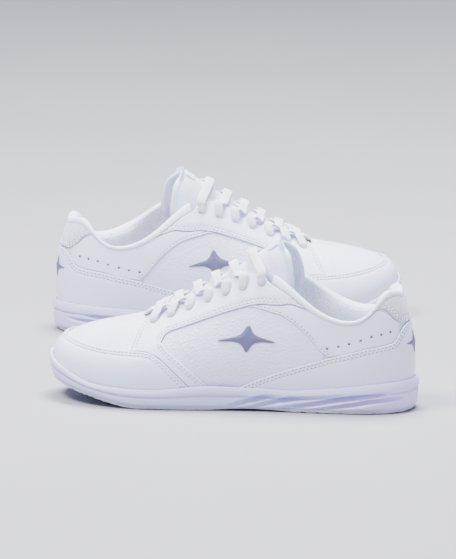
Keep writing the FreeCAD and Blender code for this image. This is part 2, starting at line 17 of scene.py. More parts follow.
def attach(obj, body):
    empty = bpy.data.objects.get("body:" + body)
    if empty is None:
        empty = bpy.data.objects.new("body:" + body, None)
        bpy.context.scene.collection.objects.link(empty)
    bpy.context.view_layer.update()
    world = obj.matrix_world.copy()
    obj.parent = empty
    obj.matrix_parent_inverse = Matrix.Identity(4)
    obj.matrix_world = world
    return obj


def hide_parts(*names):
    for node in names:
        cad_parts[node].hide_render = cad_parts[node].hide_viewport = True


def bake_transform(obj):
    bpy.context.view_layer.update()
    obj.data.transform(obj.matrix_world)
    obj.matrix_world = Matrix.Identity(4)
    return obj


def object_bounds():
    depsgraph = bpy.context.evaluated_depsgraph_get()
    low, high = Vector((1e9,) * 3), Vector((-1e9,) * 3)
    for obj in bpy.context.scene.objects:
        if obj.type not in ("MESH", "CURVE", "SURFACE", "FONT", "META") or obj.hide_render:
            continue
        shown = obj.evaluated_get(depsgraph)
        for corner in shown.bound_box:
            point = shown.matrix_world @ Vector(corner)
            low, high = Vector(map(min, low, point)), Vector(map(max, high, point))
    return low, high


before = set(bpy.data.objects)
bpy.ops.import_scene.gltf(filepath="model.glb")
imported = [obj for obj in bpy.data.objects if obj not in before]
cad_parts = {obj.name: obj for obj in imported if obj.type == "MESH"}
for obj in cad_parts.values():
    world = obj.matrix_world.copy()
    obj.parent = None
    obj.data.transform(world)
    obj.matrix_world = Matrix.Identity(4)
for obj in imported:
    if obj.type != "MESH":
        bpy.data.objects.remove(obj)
cad_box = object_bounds()

# ---- how the pair stands -------------------------------------------------------------------------
YAW = 13.0                # each shoe's heel is turned this far towards the front of the pair, degrees
SPACING = 300.0           # front-to-back distance between the two shoes
MIDDLE_X = 131.0          # the point of a shoe that stands on the pair's centre plane
MIDDLE_Y = 4.2            # centres the pair front to back

# ---- layers, as distances from the skin ----------------------------------------------------------
BASE = (0.0, 1.1)         # vamp and side panels
OVERLAY = (1.12, 2.4)     # leather pieces sewn on top
THICK_OVERLAY = (1.12, 2.6)
LINING = (-3.0, -1.0)     # textile lining
EDGE_ROUND = 0.5          # rounding of a leather piece's edge

# ---- sole ----------------------------------------------------------------------------------------
OUTSOLE = 2.5             # thickness of the rubber
BALL_X = 186.0            # the sole is flat up to here and then springs up to the toe
SPRING_RUN = 12.0         # length over which the spring begins
SPRING = 0.21             # slope of the toe spring
ARCH = (80.0, 140.0, 1.4) # the raised arch: from, to, height
SOLE_OUT = 4.3            # how far the sidewall stands outside the feather line at the ground
OUTSOLE_OUT = 3.2
WALL_IN = 3.1             # inner face of the sidewall, just outside the upper
WALL_LIP = 4.4            # outer face of the sidewall's lip
# floor under the foot: heights of the feather line along the shoe
FLOOR = ((-8, 17.7), (20, 17.4), (42, 16.5), (75, 13.0), (108, 12.0), (142, 12.0), (178, 11.5),
         (216, 13.2), (246, 18.0), (268, 24.5))
INSOLE = (2.3, 6.5)

# ---- lacing --------------------------------------------------------------------------------------
EYELETS = ((0.700, 0.83), (0.652, 0.86), (0.608, 0.88), (0.565, 0.89), (0.525, 0.885), (0.487, 0.885),
           (0.448, 0.91))
EYELET_R = 2.1
VENTS = ((0.283, 0.575), (0.259, 0.615), (0.235, 0.645), (0.206, 0.655), (0.176, 0.645), (0.146, 0.615),
         (0.116, 0.600))
VENT_R = 0.9
VENT_SHADE_DISC = (1.14, 1.42)   # heights of the dark discs in the vent holes, between the side panel and the quarter: painted shade that stands for the holes' depth
LACE = (6.6, 1.6)         # width and thickness
LACE_IN_HOLE = 3.0        # width of the hidden runs; a strand narrows towards it in an eyelet
FLANK = 0.66              # where a strand comes out from under the rim, in half widths of the tongue
LACE_LIFT = 2.4           # the upper strand of a crossing is this much higher
RIM_CLEAR = {1: (2.7, 1.5), -1: (3.7, 2.1)}  # a strand's clearance at the rim and at the mouth, by side
LACE_OVER = 2.7           # height of the lower strand's middle over the tongue
SHOULDER = 0.42           # where a strand turns down over the tongue, in half widths
CROSS_FORWARD = 4.5       # strands cross this far ahead of the eyelets, because the throat slopes
CROSS_LEAN = 2.5          # a strand leans this much from its crossing to the tongue's shoulder
LACE_UNDER = -2.1         # the lace's depth under the eyestays
TAIL_DEPTH = -4.8         # the tucked ends lie between the lining and the tongue

# ---- the upper's shape: feather point, lower handle, upper handle and rim point of each station ---
STATIONS = np.array((
    ((6, 0, 17.5), (4, 0, 38), (6, 0, 61), (14.5, 0, 80.5)),
    ((15.5, 20.5, 17.5), (13.5, 22.8, 38), (13.5, 20.8, 61), (20.5, 16, 81.5)),
    ((42, 29.5, 16.5), (41, 34, 33), (38, 31, 51), (34.5, 27.5, 65)),
    ((75, 31, 13), (74, 37, 31), (71, 34, 55), (66, 29, 71.5)),
    ((108, 33, 12), (106, 41, 32), (104, 36, 63), (102, 17, 93)),
    ((142, 38, 12), (142, 47, 30), (140, 36, 60), (137, 13, 79.5)),
    ((178, 43.5, 11.5), (179, 51, 26), (173, 38, 51.5), (168, 11, 65)),
    ((213, 40, 13), (217, 47, 29.5), (202, 30, 51.5), (185, 9, 58.5)),
    ((241.5, 22.5, 17.5), (247, 26, 40), (220, 17, 50), (190, 4.5, 57)),
    ((253, -6, 22), (259.5, -7, 44.5), (230, -5, 49), (191, -1, 56.5)),
    ((240.5, -30, 17.5), (246, -34, 40), (220, -24, 50), (190, -6.5, 57)),
    ((212, -40, 13), (216, -46, 30.5), (202, -34, 52.5), (185, -10.5, 58.5)),
    ((180, -40, 11.5), (181, -48, 27), (174, -38, 52.5), (168, -12.5, 65)),
    ((144, -31, 12), (144, -42, 31), (141, -36, 61), (137, -14, 79.5)),
    ((108, -27, 12), (106, -37, 33), (104, -35, 64), (102, -18, 93)),
    ((75, -27, 13), (74, -35, 32), (71, -34, 56), (66, -29, 72.5)),
    ((42, -28, 16.5), (41, -33, 34), (38, -31, 52), (34.5, -27.5, 66)),
    ((15.5, -20, 17.5), (13.5, -22.3, 38), (13.5, -20.3, 61), (20.5, -16, 82)),
), float)
ROUND = len(STATIONS)
LIP = (0.065, 0.06, 0.05, 0.05, 0.075, 0.09, 0.06, 0.055, 0.10, 0.115)
SWELL = (5.4, 5.2, 4.8, 4.5, 4.5, 4.7, 5.0, 5.0, 4.7, 4.5)

# ---- the tongue: crest, shoulder, flank and edge of each section ---------------------------------
TONGUE = (
    ((203, 0, 47.5), (202.5, 6, 46.8), (200.5, 12, 45), (198, 18, 42)),
    ((184, 0, 58.5), (183.5, 5.5, 57), (181.5, 11, 52), (179, 19, 45)),
    ((158, 0, 73.5), (157, 6.5, 71), (154, 13.5, 62), (151, 22.5, 52.5)),
    ((133, 0, 88), (131.5, 7.5, 84.5), (127.5, 15, 73), (122, 22.5, 61.5)),
    ((108, 0, 105), (106, 8, 101.5), (99.5, 15, 90.5), (90, 19.5, 76)),
    ((103, 0, 108.4), (101, 8, 105.3), (94, 14.8, 95.5), (84, 18.5, 82)),
    ((95, 0, 113.2), (93, 7.5, 111.4), (86.5, 14, 105), (79, 17.5, 97)),
)
TONGUE_SPLIT = 4
TONGUE_THICK = 4.0

# ---- outlines of the leather pieces, on the skin -------------------------------------------------
COLLAR_END = 0.425
COLLAR_T = 0.93
WINDOW_REAR = ((0.283, 0.36), (0.290, 0.44), (0.300, 0.54), (0.318, 0.62), (0.347, 0.70), (0.385, 0.735),
               (0.430, 0.728), (0.475, 0.74))
STAY_LOW = ((0.349, 0.92), (0.378, 0.875), (0.41, 0.80), (0.45, 0.766), (0.50, 0.735), (0.565, 0.716),
            (0.62, 0.70), (0.648, 0.672), (0.655, 0.59))
LEG_REAR = ((0.655, 0.59), (0.640, 0.51), (0.610, 0.39), (0.580, 0.26), (0.552, 0.13), (0.535, 0.03))
GUARD_TOP = ((0.575, 0.03), (0.589, 0.12), (0.617, 0.27), (0.652, 0.42), (0.688, 0.49), (0.75, 0.48),
             (0.84, 0.445), (0.92, 0.415), (1.0, 0.41))
LEG_FRONT = ((0.745, 0.93), (0.738, 0.80), (0.728, 0.64), (0.722, 0.492)) + tuple(
    (s - 0.001, t + 0.003) for s, t in reversed(GUARD_TOP[:5]))
FOXING_TOP = ((0.49, 0.04), (0.444, 0.14), (0.397, 0.225), (0.33, 0.344), (0.26, 0.48), (0.20, 0.52),
              (0.14, 0.483), (0.105, 0.49), (0.080, 0.57), (0.045, 0.64), (0.0, 0.66))
TAB_LOW = ((0.150, 0.925), (0.118, 0.81), (0.094, 0.71), (0.060, 0.665), (0.0, 0.68))

# ---- stars: centre on the skin, half width, half height, and the layer's two distances -----------
HEEL_STAR = ((0.0, 0.445), 0.055, 0.115, (2.6, 3.35))
SIDE_STAR = ((0.464, 0.508), 0.062, 0.105, (1.1, 2.3))

# ---- stitching -----------------------------------------------------------------------------------
STITCH = (2.9, 1.55, 0.33)      # period, length and thread radius
SEAM_SHADOW_WIDTH = 1.15              # width of the dark strip that shows between the stitches: painted shadow of the needle line
ROW_NEAR = 1.5                 # first row of stitches, from the piece's edge
ROW_FAR = 3.4                  # second row
GROOVE = (0.5, 0.26)           # half width and depth of the dent that the thread pulls
RINGS = (0.12, 0.3, 0.55, 0.8, 1.05, 1.3, 1.5, 1.7, 2.0, 2.5, 2.95, 3.2, 3.4, 3.6, 3.9)


# ==== the surfaces ================================================================================
def eased(share):
    """A share from 0 to 1 that starts and ends slowly."""
    return share * share * (3 - 2 * share)


def ring_controls(points):
    """Control points of the closed cubic spline that passes through the points."""
    controls = points.copy()
    for _ in range(60):
        for i in range(ROUND):
            controls[i] = (points[i] * 6 - controls[i - 1] - controls[(i + 1) % ROUND]) / 4
    return controls


CONTROLS = np.array([ring_controls(STATIONS[:, row]) for row in range(4)])


def skin(s, t):
    """Points of the upper's reference surface, for arrays of s and t."""
    s, t = np.broadcast_arrays(np.asarray(s, float), np.asarray(t, float))
    place = (s * ROUND / 2) % ROUND
    first = np.floor(place).astype(int)
    f = place - first
    spans = ((1 - f) ** 3 / 6, (3 * f ** 3 - 6 * f * f + 4) / 6,
             (-3 * f ** 3 + 3 * f * f + 3 * f + 1) / 6, f ** 3 / 6)
    rows = sum(CONTROLS[:, (first - 1 + k) % ROUND] * spans[k][..., None] for k in range(4))
    climb = ((1 - t) ** 3, 3 * t * (1 - t) ** 2, 3 * t * t * (1 - t), t ** 3)
    return sum(rows[k] * climb[k][..., None] for k in range(4))


def unit(v):
    """Vectors made one long."""
    return v / np.maximum(np.linalg.norm(v, axis=-1, keepdims=True), 1e-12)


def outward(s, t, step=0.001):
    """Unit normals of the skin, pointing out of the shoe."""
    s, t = np.broadcast_arrays(np.asarray(s, float), np.asarray(t, float))
    round_it = skin(s + step, t) - skin(s - step, t)
    up_it = skin(s, t + step) - skin(s, t - step)
    return unit(np.cross(up_it, round_it))


def off_skin(s, t, height):
    """Points at a height over the skin."""
    return skin(s, t) + outward(s, t) * np.asarray(height, float)[..., None]


def on_upper(points, height):
    """The place of (s, t) points at a height over the skin."""
    return off_skin(points[:, 0], points[:, 1], height)


def heel_to_toe(values, s):
    """A smooth value given at the ten stations from heel to toe, the same on both sides."""
    values = np.array(values)
    s = np.asarray(s, float) % 2
    place = np.minimum(s, 2 - s) * (len(values) - 1)
    first = np.minimum(place.astype(int), len(values) - 2)
    f = place - first
    f = eased(f)
    return values[first] + (values[first + 1] - values[first]) * f


def plan_normal(s):
    """Unit normals of the feather line in plan."""
    normal = outward(s, 0.02)
    normal[..., 2] = 0
    return unit(normal)


def feather_out(s, distance):
    """Points of the feather line moved outwards in plan."""
    return skin(s, 0) + plan_normal(s) * np.asarray(distance, float)[..., None]


def sole_bottom(x):
    """Height of the outsole's underside, without the arch."""
    run = np.asarray(x, float) - BALL_X
    bend = SPRING * run * run / (2 * SPRING_RUN)
    ramp = SPRING * (run - SPRING_RUN / 2)
    return np.where(run <= 0, 0.0, np.where(run < SPRING_RUN, bend, ramp))


def arch(x):
    """How far the underside lifts off the ground at the arch."""
    start, end, height = ARCH
    place = np.clip((np.asarray(x, float) - start) / (end - start), 0, 1)
    return height * 4 * place * (1 - place)


def blend_weights(place, count):
    """Catmull-Rom weights of each of count points, with straight ends, for an array of places."""
    place = np.asarray(place, float).ravel()
    first = np.clip(np.floor(place).astype(int), 0, count - 2)
    f = place - first
    weights = np.zeros((len(place), count))
    row = np.arange(len(place))
    before = 0.5 * (-f + 2 * f * f - f ** 3)
    after = 0.5 * (-f * f + f ** 3)
    weights[row, first] += 0.5 * (2 - 5 * f * f + 3 * f ** 3)
    weights[row, first + 1] += 0.5 * (f + 4 * f * f - 3 * f ** 3)
    start = first == 0
    weights[row, np.maximum(first - 1, 0)] += np.where(start, 2 * before, before)
    weights[row, first + 1] -= np.where(start, before, 0)
    end = first + 2 > count - 1
    weights[row, np.minimum(first + 2, count - 1)] += np.where(end, 2 * after, after)
    weights[row, first] -= np.where(end, after, 0)
    return weights


def tongue_rows():
    """Each section of the tongue from one edge to the other."""
    rows = []
    for section in TONGUE:
        half = [np.array(p, float) for p in section]
        rows.append([p * (1, -1, 1) for p in reversed(half[1:])] + half)
    return np.array(rows)


TONGUE_NET = tongue_rows()


def tongue_outer(u, v):
    """Points of the tongue's outer face."""
    over = blend_weights((v + 1) * 3, 7)
    along = blend_weights(u, len(TONGUE))
    return np.einsum("nk,np,kpc->nc", along, over, TONGUE_NET)


def tongue_point(u, v, depth):
    """u counts sections from the vamp, v goes from one edge (-1) to the other (1)."""
    u, v, depth = [np.asarray(a, float).ravel() for a in np.broadcast_arrays(u, v, depth)]
    step = 0.02
    top = len(TONGUE) - 1.0
    along = tongue_outer(np.minimum(top, u + step), v) - tongue_outer(np.maximum(0, u - step), v)
    over = tongue_outer(u, np.minimum(1, v + step)) - tongue_outer(u, np.maximum(-1, v - step))
    return tongue_outer(u, v) + unit(np.cross(along, over)) * depth[:, None]


def waves(points, size, seed=0.0):
    """A soft uneven value from -1 to 1 over points in millimetres, for slow swells in leather."""
    p = np.asarray(points, float) / size
    total = np.zeros(len(p))
    for k in range(3):
        turn = 1.7 + 2.3 * k + seed
        way = np.array([math.cos(turn), math.sin(turn * 1.3), math.cos(turn * 0.7 + 1)])
        bend = np.sin(p @ np.roll(way, 1) * 1.9 + seed + k)
        total += np.sin(p @ way * (2.1 + k) + 1.4 * bend + 3 * seed)
    return total / 3


# ==== lines =======================================================================================
def reach_along(spots):
    """The distance run at each point of a line."""
    return np.concatenate([[0], np.cumsum(np.linalg.norm(np.diff(spots, axis=0), axis=1))])


def at_reach(steps, reach, values):
    """The values of a line at given distances along it."""
    return np.stack([np.interp(steps, reach, column) for column in values.T], axis=1)


def through(stops, count):
    """A smooth path of count points through the stops."""
    stops = np.array(stops, float)
    return blend_weights(np.linspace(0, len(stops) - 1, count), len(stops)) @ stops


def resample(points, spacing, place=on_upper):
    """The same line with points at even true distances."""
    spots = place(points, np.zeros(len(points)))
    reach = reach_along(spots)
    count = max(2, int(round(reach[-1] / spacing)) + 1)
    steps = np.linspace(0, reach[-1], count)
    return at_reach(steps, reach, points)


def curve(points, spacing=1.4, place=on_upper):
    """A smooth line through (s, t) points, with points at even true distances."""
    return resample(through(points, 16 * len(points)), spacing, place)


def straight(start, end, spacing=1.4, place=on_upper):
    """A straight line in (s, t), with points at even true distances."""
    share = np.linspace(0, 1, 60)[:, None]
    line = np.array(start, float) * (1 - share) + np.array(end, float) * share
    return resample(line, spacing, place)


def both_ways(points):
    """A line given from one side to s = 0 or 1, continued on the other side."""
    turn = points[-1][0]
    return list(points) + [(2 * turn - s, t) for s, t in reversed(points[:-1])]


def chain(*lines):
    """Lines that follow each other, as one closed loop."""
    pieces = [line[:-1] for line in lines]
    return np.concatenate(pieces)


def on_side(points, side):
    """The same points on the outer side (1) or the inner side (-1)."""
    points = np.array(points, float)
    if side < 0:
        points[:, 0] = 2 - points[:, 0]
    return points


def slopes(points, place):
    """How a surface runs along its two coordinates, and its unit normal."""
    step = 1e-3 if place is on_upper else 1e-2
    zero = np.zeros(len(points))
    across = [(place(points + shift, zero) - place(points - shift, zero)) / (2 * step)
              for shift in (np.array((step, 0)), np.array((0, step)))]
    normal = unit(np.cross(across[0], across[1]))
    return across[0], across[1], normal


def moved(points, way, place):
    """Points moved by true vectors that lie along the surface."""
    du, dv, _ = slopes(points, place)
    a, b, c = (du * du).sum(1), (du * dv).sum(1), (dv * dv).sum(1)
    p, q = (du * way).sum(1), (dv * way).sum(1)
    scale = np.maximum(a * c - b * b, 1e-9)
    return points + np.stack([(c * p - b * q) / scale, (a * q - b * p) / scale], axis=1)


def beside(line, distance, place=on_upper, closed=False):
    """The line moved sideways along the surface by a true distance."""
    spots = place(line, np.zeros(len(line)))
    if closed:
        along = np.roll(spots, -1, axis=0) - np.roll(spots, 1, axis=0)
    else:
        along = np.gradient(spots, axis=0)
    _, _, normal = slopes(line, place)
    return moved(line, unit(np.cross(normal, unit(along))) * distance, place)


def inside(points, loops):
    """Which points lie inside the first loop and outside the others (even-odd)."""
    found = np.zeros(len(points), bool)
    for loop in loops:
        x1, y1 = loop[:, 0], loop[:, 1]
        x2, y2 = np.roll(x1, -1), np.roll(y1, -1)
        for i in range(len(loop)):
            crosses = (y1[i] > points[:, 1]) != (y2[i] > points[:, 1])
            if y1[i] != y2[i]:
                at_x = (x2[i] - x1[i]) * (points[:, 1] - y1[i]) / (y2[i] - y1[i]) + x1[i]
                found ^= crosses & (points[:, 0] < at_x)
    return found


def distance_to(spots, lines):
    """Shortest true distance from each spot to any of the polylines."""
    best = np.full(len(spots), 1e9)
    for line in lines:
        starts, ends = line[:-1], line[1:]
        run = ends - starts
        size = np.maximum((run * run).sum(1), 1e-12)
        for i in range(0, len(spots), 1500):
            gap = spots[i:i + 1500, None] - starts[None]
            share = np.clip((gap * run).sum(2) / size, 0, 1)
            near = np.linalg.norm(gap - share[..., None] * run, axis=2).min(axis=1)
            best[i:i + 1500] = np.minimum(best[i:i + 1500], near)
    return best


def closed_spots(loop, place):
    """A loop's points in space, with the first one again at the end."""
    spots = place(loop, np.zeros(len(loop)))
    return np.concatenate([spots, spots[:1]])


# ==== solids ======================================================================================
def rounded(distance, radius=EDGE_ROUND):
    """How far a rounded edge lies below the flat top, at a distance from the edge."""
    inner = np.clip(radius - distance, 0, radius)
    return radius - np.sqrt(radius * radius - inner * inner)


def sheet_solid(loops, place, top, bottom, spacing, rings, chart):
    """A closed solid over an outline with holes; top and bottom give heights from points and distance."""
    edges = [closed_spots(loop, place) for loop in loops]
    points = [np.concatenate(loops)]
    for ring in rings:
        for loop in loops:
            for way in (1, -1):
                shifted = beside(loop, ring * way, place, closed=True)
                keep = inside(shifted, loops)
                near = distance_to(place(shifted, np.zeros(len(shifted))), edges)
                points.append(shifted[keep & (near > ring * 0.9)])
    low, high = loops[0].min(axis=0), loops[0].max(axis=0)
    steps = spacing / np.array(chart)
    columns = np.arange(low[0], high[0], steps[0])
    rows = np.arange(low[1], high[1], steps[1] * 0.866)
    grid = np.array([(x + (j % 2) * steps[0] / 2, y) for j, y in enumerate(rows) for x in columns])
    grid = grid[inside(grid, loops)]
    if len(grid):
        near = distance_to(place(grid, np.zeros(len(grid))), edges)
        points.append(grid[near > (rings[-1] if rings else 0) + spacing * 0.45])
    flat = np.concatenate(points)
    borders = []
    start = 0
    for loop in loops:
        count = len(loop)
        borders += [(start + i, start + (i + 1) % count) for i in range(count)]
        start += count
    scaled = flat * chart
    made = delaunay_2d_cdt([Vector(p) for p in scaled], borders, [], 0, 1e-5)
    flat = np.array([tuple(p) for p in made[0]]) / chart
    faces = np.array([f for f in made[2] if len(f) == 3])
    faces = faces[inside(flat[faces].mean(axis=1), loops)]
    near = distance_to(place(flat, np.zeros(len(flat))), edges)
    upper = place(flat, top(flat, near))
    lower = place(flat, bottom(flat, near))
    first = faces[0]
    facing = np.cross(upper[first[1]] - upper[first[0]], upper[first[2]] - upper[first[0]])
    if facing @ (upper[first[0]] - lower[first[0]]) < 0:
        faces = faces[:, ::-1]
    count = len(flat)
    sides = np.concatenate([faces[:, [0, 1]], faces[:, [1, 2]], faces[:, [2, 0]]])
    known = {(a, b) for a, b in sides.tolist()}
    walls = [(b, a, a + count, b + count) for a, b in sides.tolist() if (b, a) not in known]
    return np.concatenate([upper, lower]), faces.tolist() + (faces[:, ::-1] + count).tolist() + walls


def grid_faces(columns, rows, ring_columns=False, ring_rows=False, flip=False):
    """Quads of a grid whose points are numbered row by row within each column."""
    faces = []
    for i in range(columns if ring_columns else columns - 1):
        for j in range(rows if ring_rows else rows - 1):
            a, b = i * rows + j, ((i + 1) % columns) * rows + j
            c, d = ((i + 1) % columns) * rows + (j + 1) % rows, i * rows + (j + 1) % rows
            faces.append((d, c, b, a) if flip else (a, b, c, d))
    return faces


def capped(loops, flip=False):
    """A closed strip through an array of equal loops of points, with both ends capped."""
    count = loops.shape[1]
    faces = grid_faces(len(loops), count, ring_rows=True, flip=flip)
    faces.append(tuple(range(count)))
    last = (len(loops) - 1) * count
    faces.append(tuple(last + i for i in reversed(range(count))))
    return loops.reshape(-1, 3), faces


def ring_of(loops):
    """A closed ring through an array of equal loops of points."""
    faces = grid_faces(*loops.shape[:2], ring_columns=True, ring_rows=True)
    return loops.reshape(-1, 3), faces


def level(height):
    """A flat top or bottom for sheet_solid."""
    return lambda points, near: np.full(len(points), height)


def joined(*parts):
    """Several (points, faces) as one."""
    points, faces = [], []
    start = 0
    for spots, polygons in parts:
        points.append(spots)
        faces += [tuple(i + start for i in polygon) for polygon in polygons]
        start += len(spots)
    return np.concatenate(points), faces


# ==== stitching ===================================================================================
def stitch_form():
    """One stitch along X, from -1 to 1: a bowed thread that dips in at both ends."""
    around, along = 6, 7
    points = []
    for i in range(along):
        u = -1 + 2 * i / (along - 1)
        fat = math.sqrt(max(0.06, 1 - u ** 4))
        for j in range(around):
            a = 2 * math.pi * j / around
            points.append((u, math.cos(a) * fat, math.sin(a) * fat + 0.55 - 1.15 * u * u))
    return capped(np.array(points).reshape(along, around, 3))


STITCH_FORM = stitch_form()


def stitches(line, height, place=on_upper, trim=1.0, lean=0.12):
    """A row of stitches along a line, on a surface at a height."""
    period, length, thread = STITCH
    fine = resample(line, 0.4, place)
    lifted = height(fine) if callable(height) else np.full(len(fine), height)
    spots = place(fine, lifted)
    reach = reach_along(spots)
    count = int((reach[-1] - 2 * trim) / period)
    if count < 1:
        return np.zeros((0, 3)), []
    centres = trim + period * (np.arange(count) + 0.5)
    middle = at_reach(centres, reach, spots)
    before = at_reach(centres - 0.8, reach, spots)
    after = at_reach(centres + 0.8, reach, spots)
    flat = at_reach(centres, reach, fine)
    normal = unit(place(flat, np.full(count, 0.5)) - place(flat, np.zeros(count)))
    along = unit(after - before)
    across = unit(np.cross(normal, along))
    along = unit(along + across * lean)
    across = unit(np.cross(normal, along))
    form, polygons = STITCH_FORM
    points = (middle[:, None] + along[:, None] * form[None, :, :1] * length / 2
              + across[:, None] * form[None, :, 1:2] * thread + normal[:, None] * form[None, :, 2:] * thread)
    faces = [tuple(i + k * len(form) for i in polygon) for k in range(count) for polygon in polygons]
    return points.reshape(-1, 3), faces


def seam_shadow_strip(line, height, place=on_upper):
    """A thin dark strip that a row of stitches lies in: painted shadow of the pressed needle line."""
    fine = resample(line, 0.9, place)
    lifted = height(fine) if callable(height) else np.full(len(fine), height)
    section = ((-SEAM_SHADOW_WIDTH / 2, 0.04), (0.0, -0.01), (SEAM_SHADOW_WIDTH / 2, 0.04), (0.0, -0.10))
    loop = []
    for across, up in section:
        loop.append(place(beside(fine, across, place), lifted + up))
    return capped(np.stack(loop, axis=1), flip=True)


# ==== leather pieces ==============================================================================
CHART = (285.0, 80.0)


def leather(edges, layer, sewn=(), holes=(), rows=(ROW_NEAR, ROW_FAR), spacing=2.6, puff=0.0, seed=0.0):
    """A leather piece cut to the edges, with stitches along the sewn ones: (solid, thread, painted seam
    shadow).
    """
    outline = chain(*edges)
    loops = [outline] + list(holes)
    seams = []
    for k in sewn:
        for row in rows:
            for way in (1, -1):
                seam = beside(edges[k], row * way)
                if inside(seam[len(seam) // 2:len(seam) // 2 + 1], [outline])[0]:
                    keep = inside(seam, [outline])
                    seams.append(seam[keep])
                    break
    seam_spots = [on_upper(seam, np.zeros(len(seam))) for seam in seams]

    def smooth_top(spots, near):
        swell = puff * np.clip((near - 3.5) / 12, 0, 1)
        return layer[1] + swell + 0.10 * waves(spots, 17.0, seed) * np.clip(near / 5, 0, 1)

    def top(points, near):
        spots = skin(points[:, 0], points[:, 1])
        height = smooth_top(spots, near) - rounded(near, min(EDGE_ROUND, layer[1] - layer[0]))
        if seam_spots:
            reach = distance_to(spots, seam_spots)
            height -= GROOVE[1] * np.exp(-(reach / GROOVE[0]) ** 2)
        return height

    def in_groove(rise):
        def height(points):
            spots = skin(points[:, 0], points[:, 1])
            return smooth_top(spots, distance_to(spots, [closed_spots(outline, on_upper)])) + rise
        return height

    bottom = level(layer[0])
    solid = sheet_solid(loops, on_upper, top, bottom, spacing, RINGS, CHART)
    thread = [stitches(seam, in_groove(0.02 - GROOVE[1] * 0.7)) for seam in seams]
    # painted shadow: a dark strip in each row's groove, showing between the stitches
    seam_shadow = [seam_shadow_strip(seam, in_groove(0.05 - GROOVE[1])) for seam in seams]
    return solid, joined(*thread), joined(*seam_shadow)


def circle(centre, radius, side=1, count=22):
    """A true circle on the skin."""
    centre = on_side([centre], side)
    a = np.linspace(0, 2 * math.pi, count, endpoint=False)
    middle = np.repeat(centre, count, axis=0)
    du, dv, _ = slopes(middle, on_upper)
    e1 = unit(du)
    e2 = unit(dv - e1 * (dv * e1).sum(1)[:, None])
    return moved(middle, (e1 * np.cos(a)[:, None] + e2 * np.sin(a)[:, None]) * radius, on_upper)


def top_of_base(s):
    """The rim of the base layer: it stays under the collar tape and then climbs to the eyestay."""
    rise = np.clip((s - COLLAR_END - 0.008) / 0.02, 0, 1)
    return COLLAR_T + (1.0 - COLLAR_T) * rise * rise * (3 - 2 * rise)


def vamp_piece():
    """The base of the forefoot, with flex creases behind the toe."""
    start, end = 0.7005, 1.2995
    edges = [straight((start, 0), (end, 0), 3), straight((end, 0), (end, 0.985), 3),
             straight((end, 0.985), (start, 0.985), 1.2), straight((start, 0.985), (start, 0), 3)]
    outline = chain(*edges)

    def top(points, near):
        spots = skin(points[:, 0], points[:, 1])
        flex = np.exp(-((spots[:, 0] - 197) / 13) ** 2) * np.clip((spots[:, 2] - 35) / 15, 0, 1)
        crease = np.sin(spots[:, 0] * 0.9 + np.sin(spots[:, 1] * 0.16) * 1.4) * flex
        height = np.full(len(points), BASE[1]) - rounded(near, 0.6) * (near < 1)
        return height + 0.16 * waves(spots, 19.0, 0.4) + 0.10 * crease

    bottom = level(BASE[0])
    return sheet_solid([outline], on_upper, top, bottom, 2.0, (0.2, 0.6, 1.2), CHART)


def side_panel_piece(side):
    """The base of one side, with holes under the eyelets."""
    start, end = 0.2856, 0.6995
    rim = np.linspace(end, start, 120)
    rim = resample(on_side(np.stack([rim, top_of_base(rim)], axis=1), side), 1.3)
    edges = [on_side(straight((start, 0), (end, 0), 3), side), on_side(straight((end, 0), (end, 1), 3), side),
             rim, on_side(straight((start, COLLAR_T), (start, 0), 3), side)]
    holes = [circle(e, EYELET_R, side) for e in EYELETS]
    outline = chain(*edges)

    def top(points, near):
        spots = skin(points[:, 0], points[:, 1])
        height = np.full(len(points), BASE[1]) - rounded(near, 0.6) * (near < 1)
        across = np.where(points[:, 0] > 1, 2 - points[:, 0], points[:, 0])
        middle = np.exp(-((across - 0.46) / 0.10) ** 2 - ((points[:, 1] - 0.42) / 0.22) ** 2)
        return height + 0.15 * waves(spots, 21.0, 1.1) + 0.35 * middle

    bottom = level(BASE[0])
    return sheet_solid([outline] + holes, on_upper, top, bottom, 2.2, (0.2, 0.6, 1.1), CHART)


def toe_or_heel_piece(upper_edge, seed):
    """A thick overlay from the sole up to a line that runs round the toe or the heel."""
    edge = curve(both_ways(upper_edge))
    low = straight((edge[-1][0], 0.0), (edge[0][0], 0.0), 3)
    edges = [edge, straight(edge[-1], low[0]), low, straight(low[-1], edge[0])]
    return leather(edges, THICK_OVERLAY, sewn=(0,), seed=seed, puff=0.15)


def tab_piece():
    """The suede tab at the back of the heel."""
    edge = curve(both_ways(TAB_LOW))
    top = straight((edge[-1][0], COLLAR_T), (edge[0][0], COLLAR_T))
    edges = [edge, straight(edge[-1], top[0], 0.5), top, straight(top[-1], edge[0], 0.5)]
    return leather(edges, OVERLAY, sewn=(0,), seed=0.9, spacing=2.0)


def rear_quarter_piece(side):
    """The overlay between the heel and the eyestay, with the vent holes."""
    lower_by = 0.006
    foxing = [(s, t + lower_by) for s, t in reversed(FOXING_TOP) if 0.08 <= s <= 0.27]
    corner = (0.277, 0.47 + lower_by)
    window = [corner] + [(s, t + lower_by) for s, t in WINDOW_REAR[2:]]
    stay = [(s - 0.002, t - 0.006) for s, t in STAY_LOW[:5]]
    lines = [curve(foxing + [corner]), curve(window), straight(window[-1], stay[-1]),
             curve(list(reversed(stay))), straight(stay[0], (0.335, COLLAR_T)),
             curve([(0.335, COLLAR_T), (0.24, COLLAR_T), (0.158, 0.92)]),
             curve([(0.158, 0.92), (0.125, 0.80), (0.102, 0.72), (0.084, 0.69)]),
             straight((0.084, 0.69), foxing[0])]
    lines = [on_side(line, side) for line in lines]
    holes = [circle(v, VENT_R, side, 12) for v in VENTS]
    return leather(lines, (OVERLAY[0], OVERLAY[1] - 0.3), sewn=(1,), holes=holes, rows=(ROW_NEAR,),
                   seed=1.3, spacing=2.2)


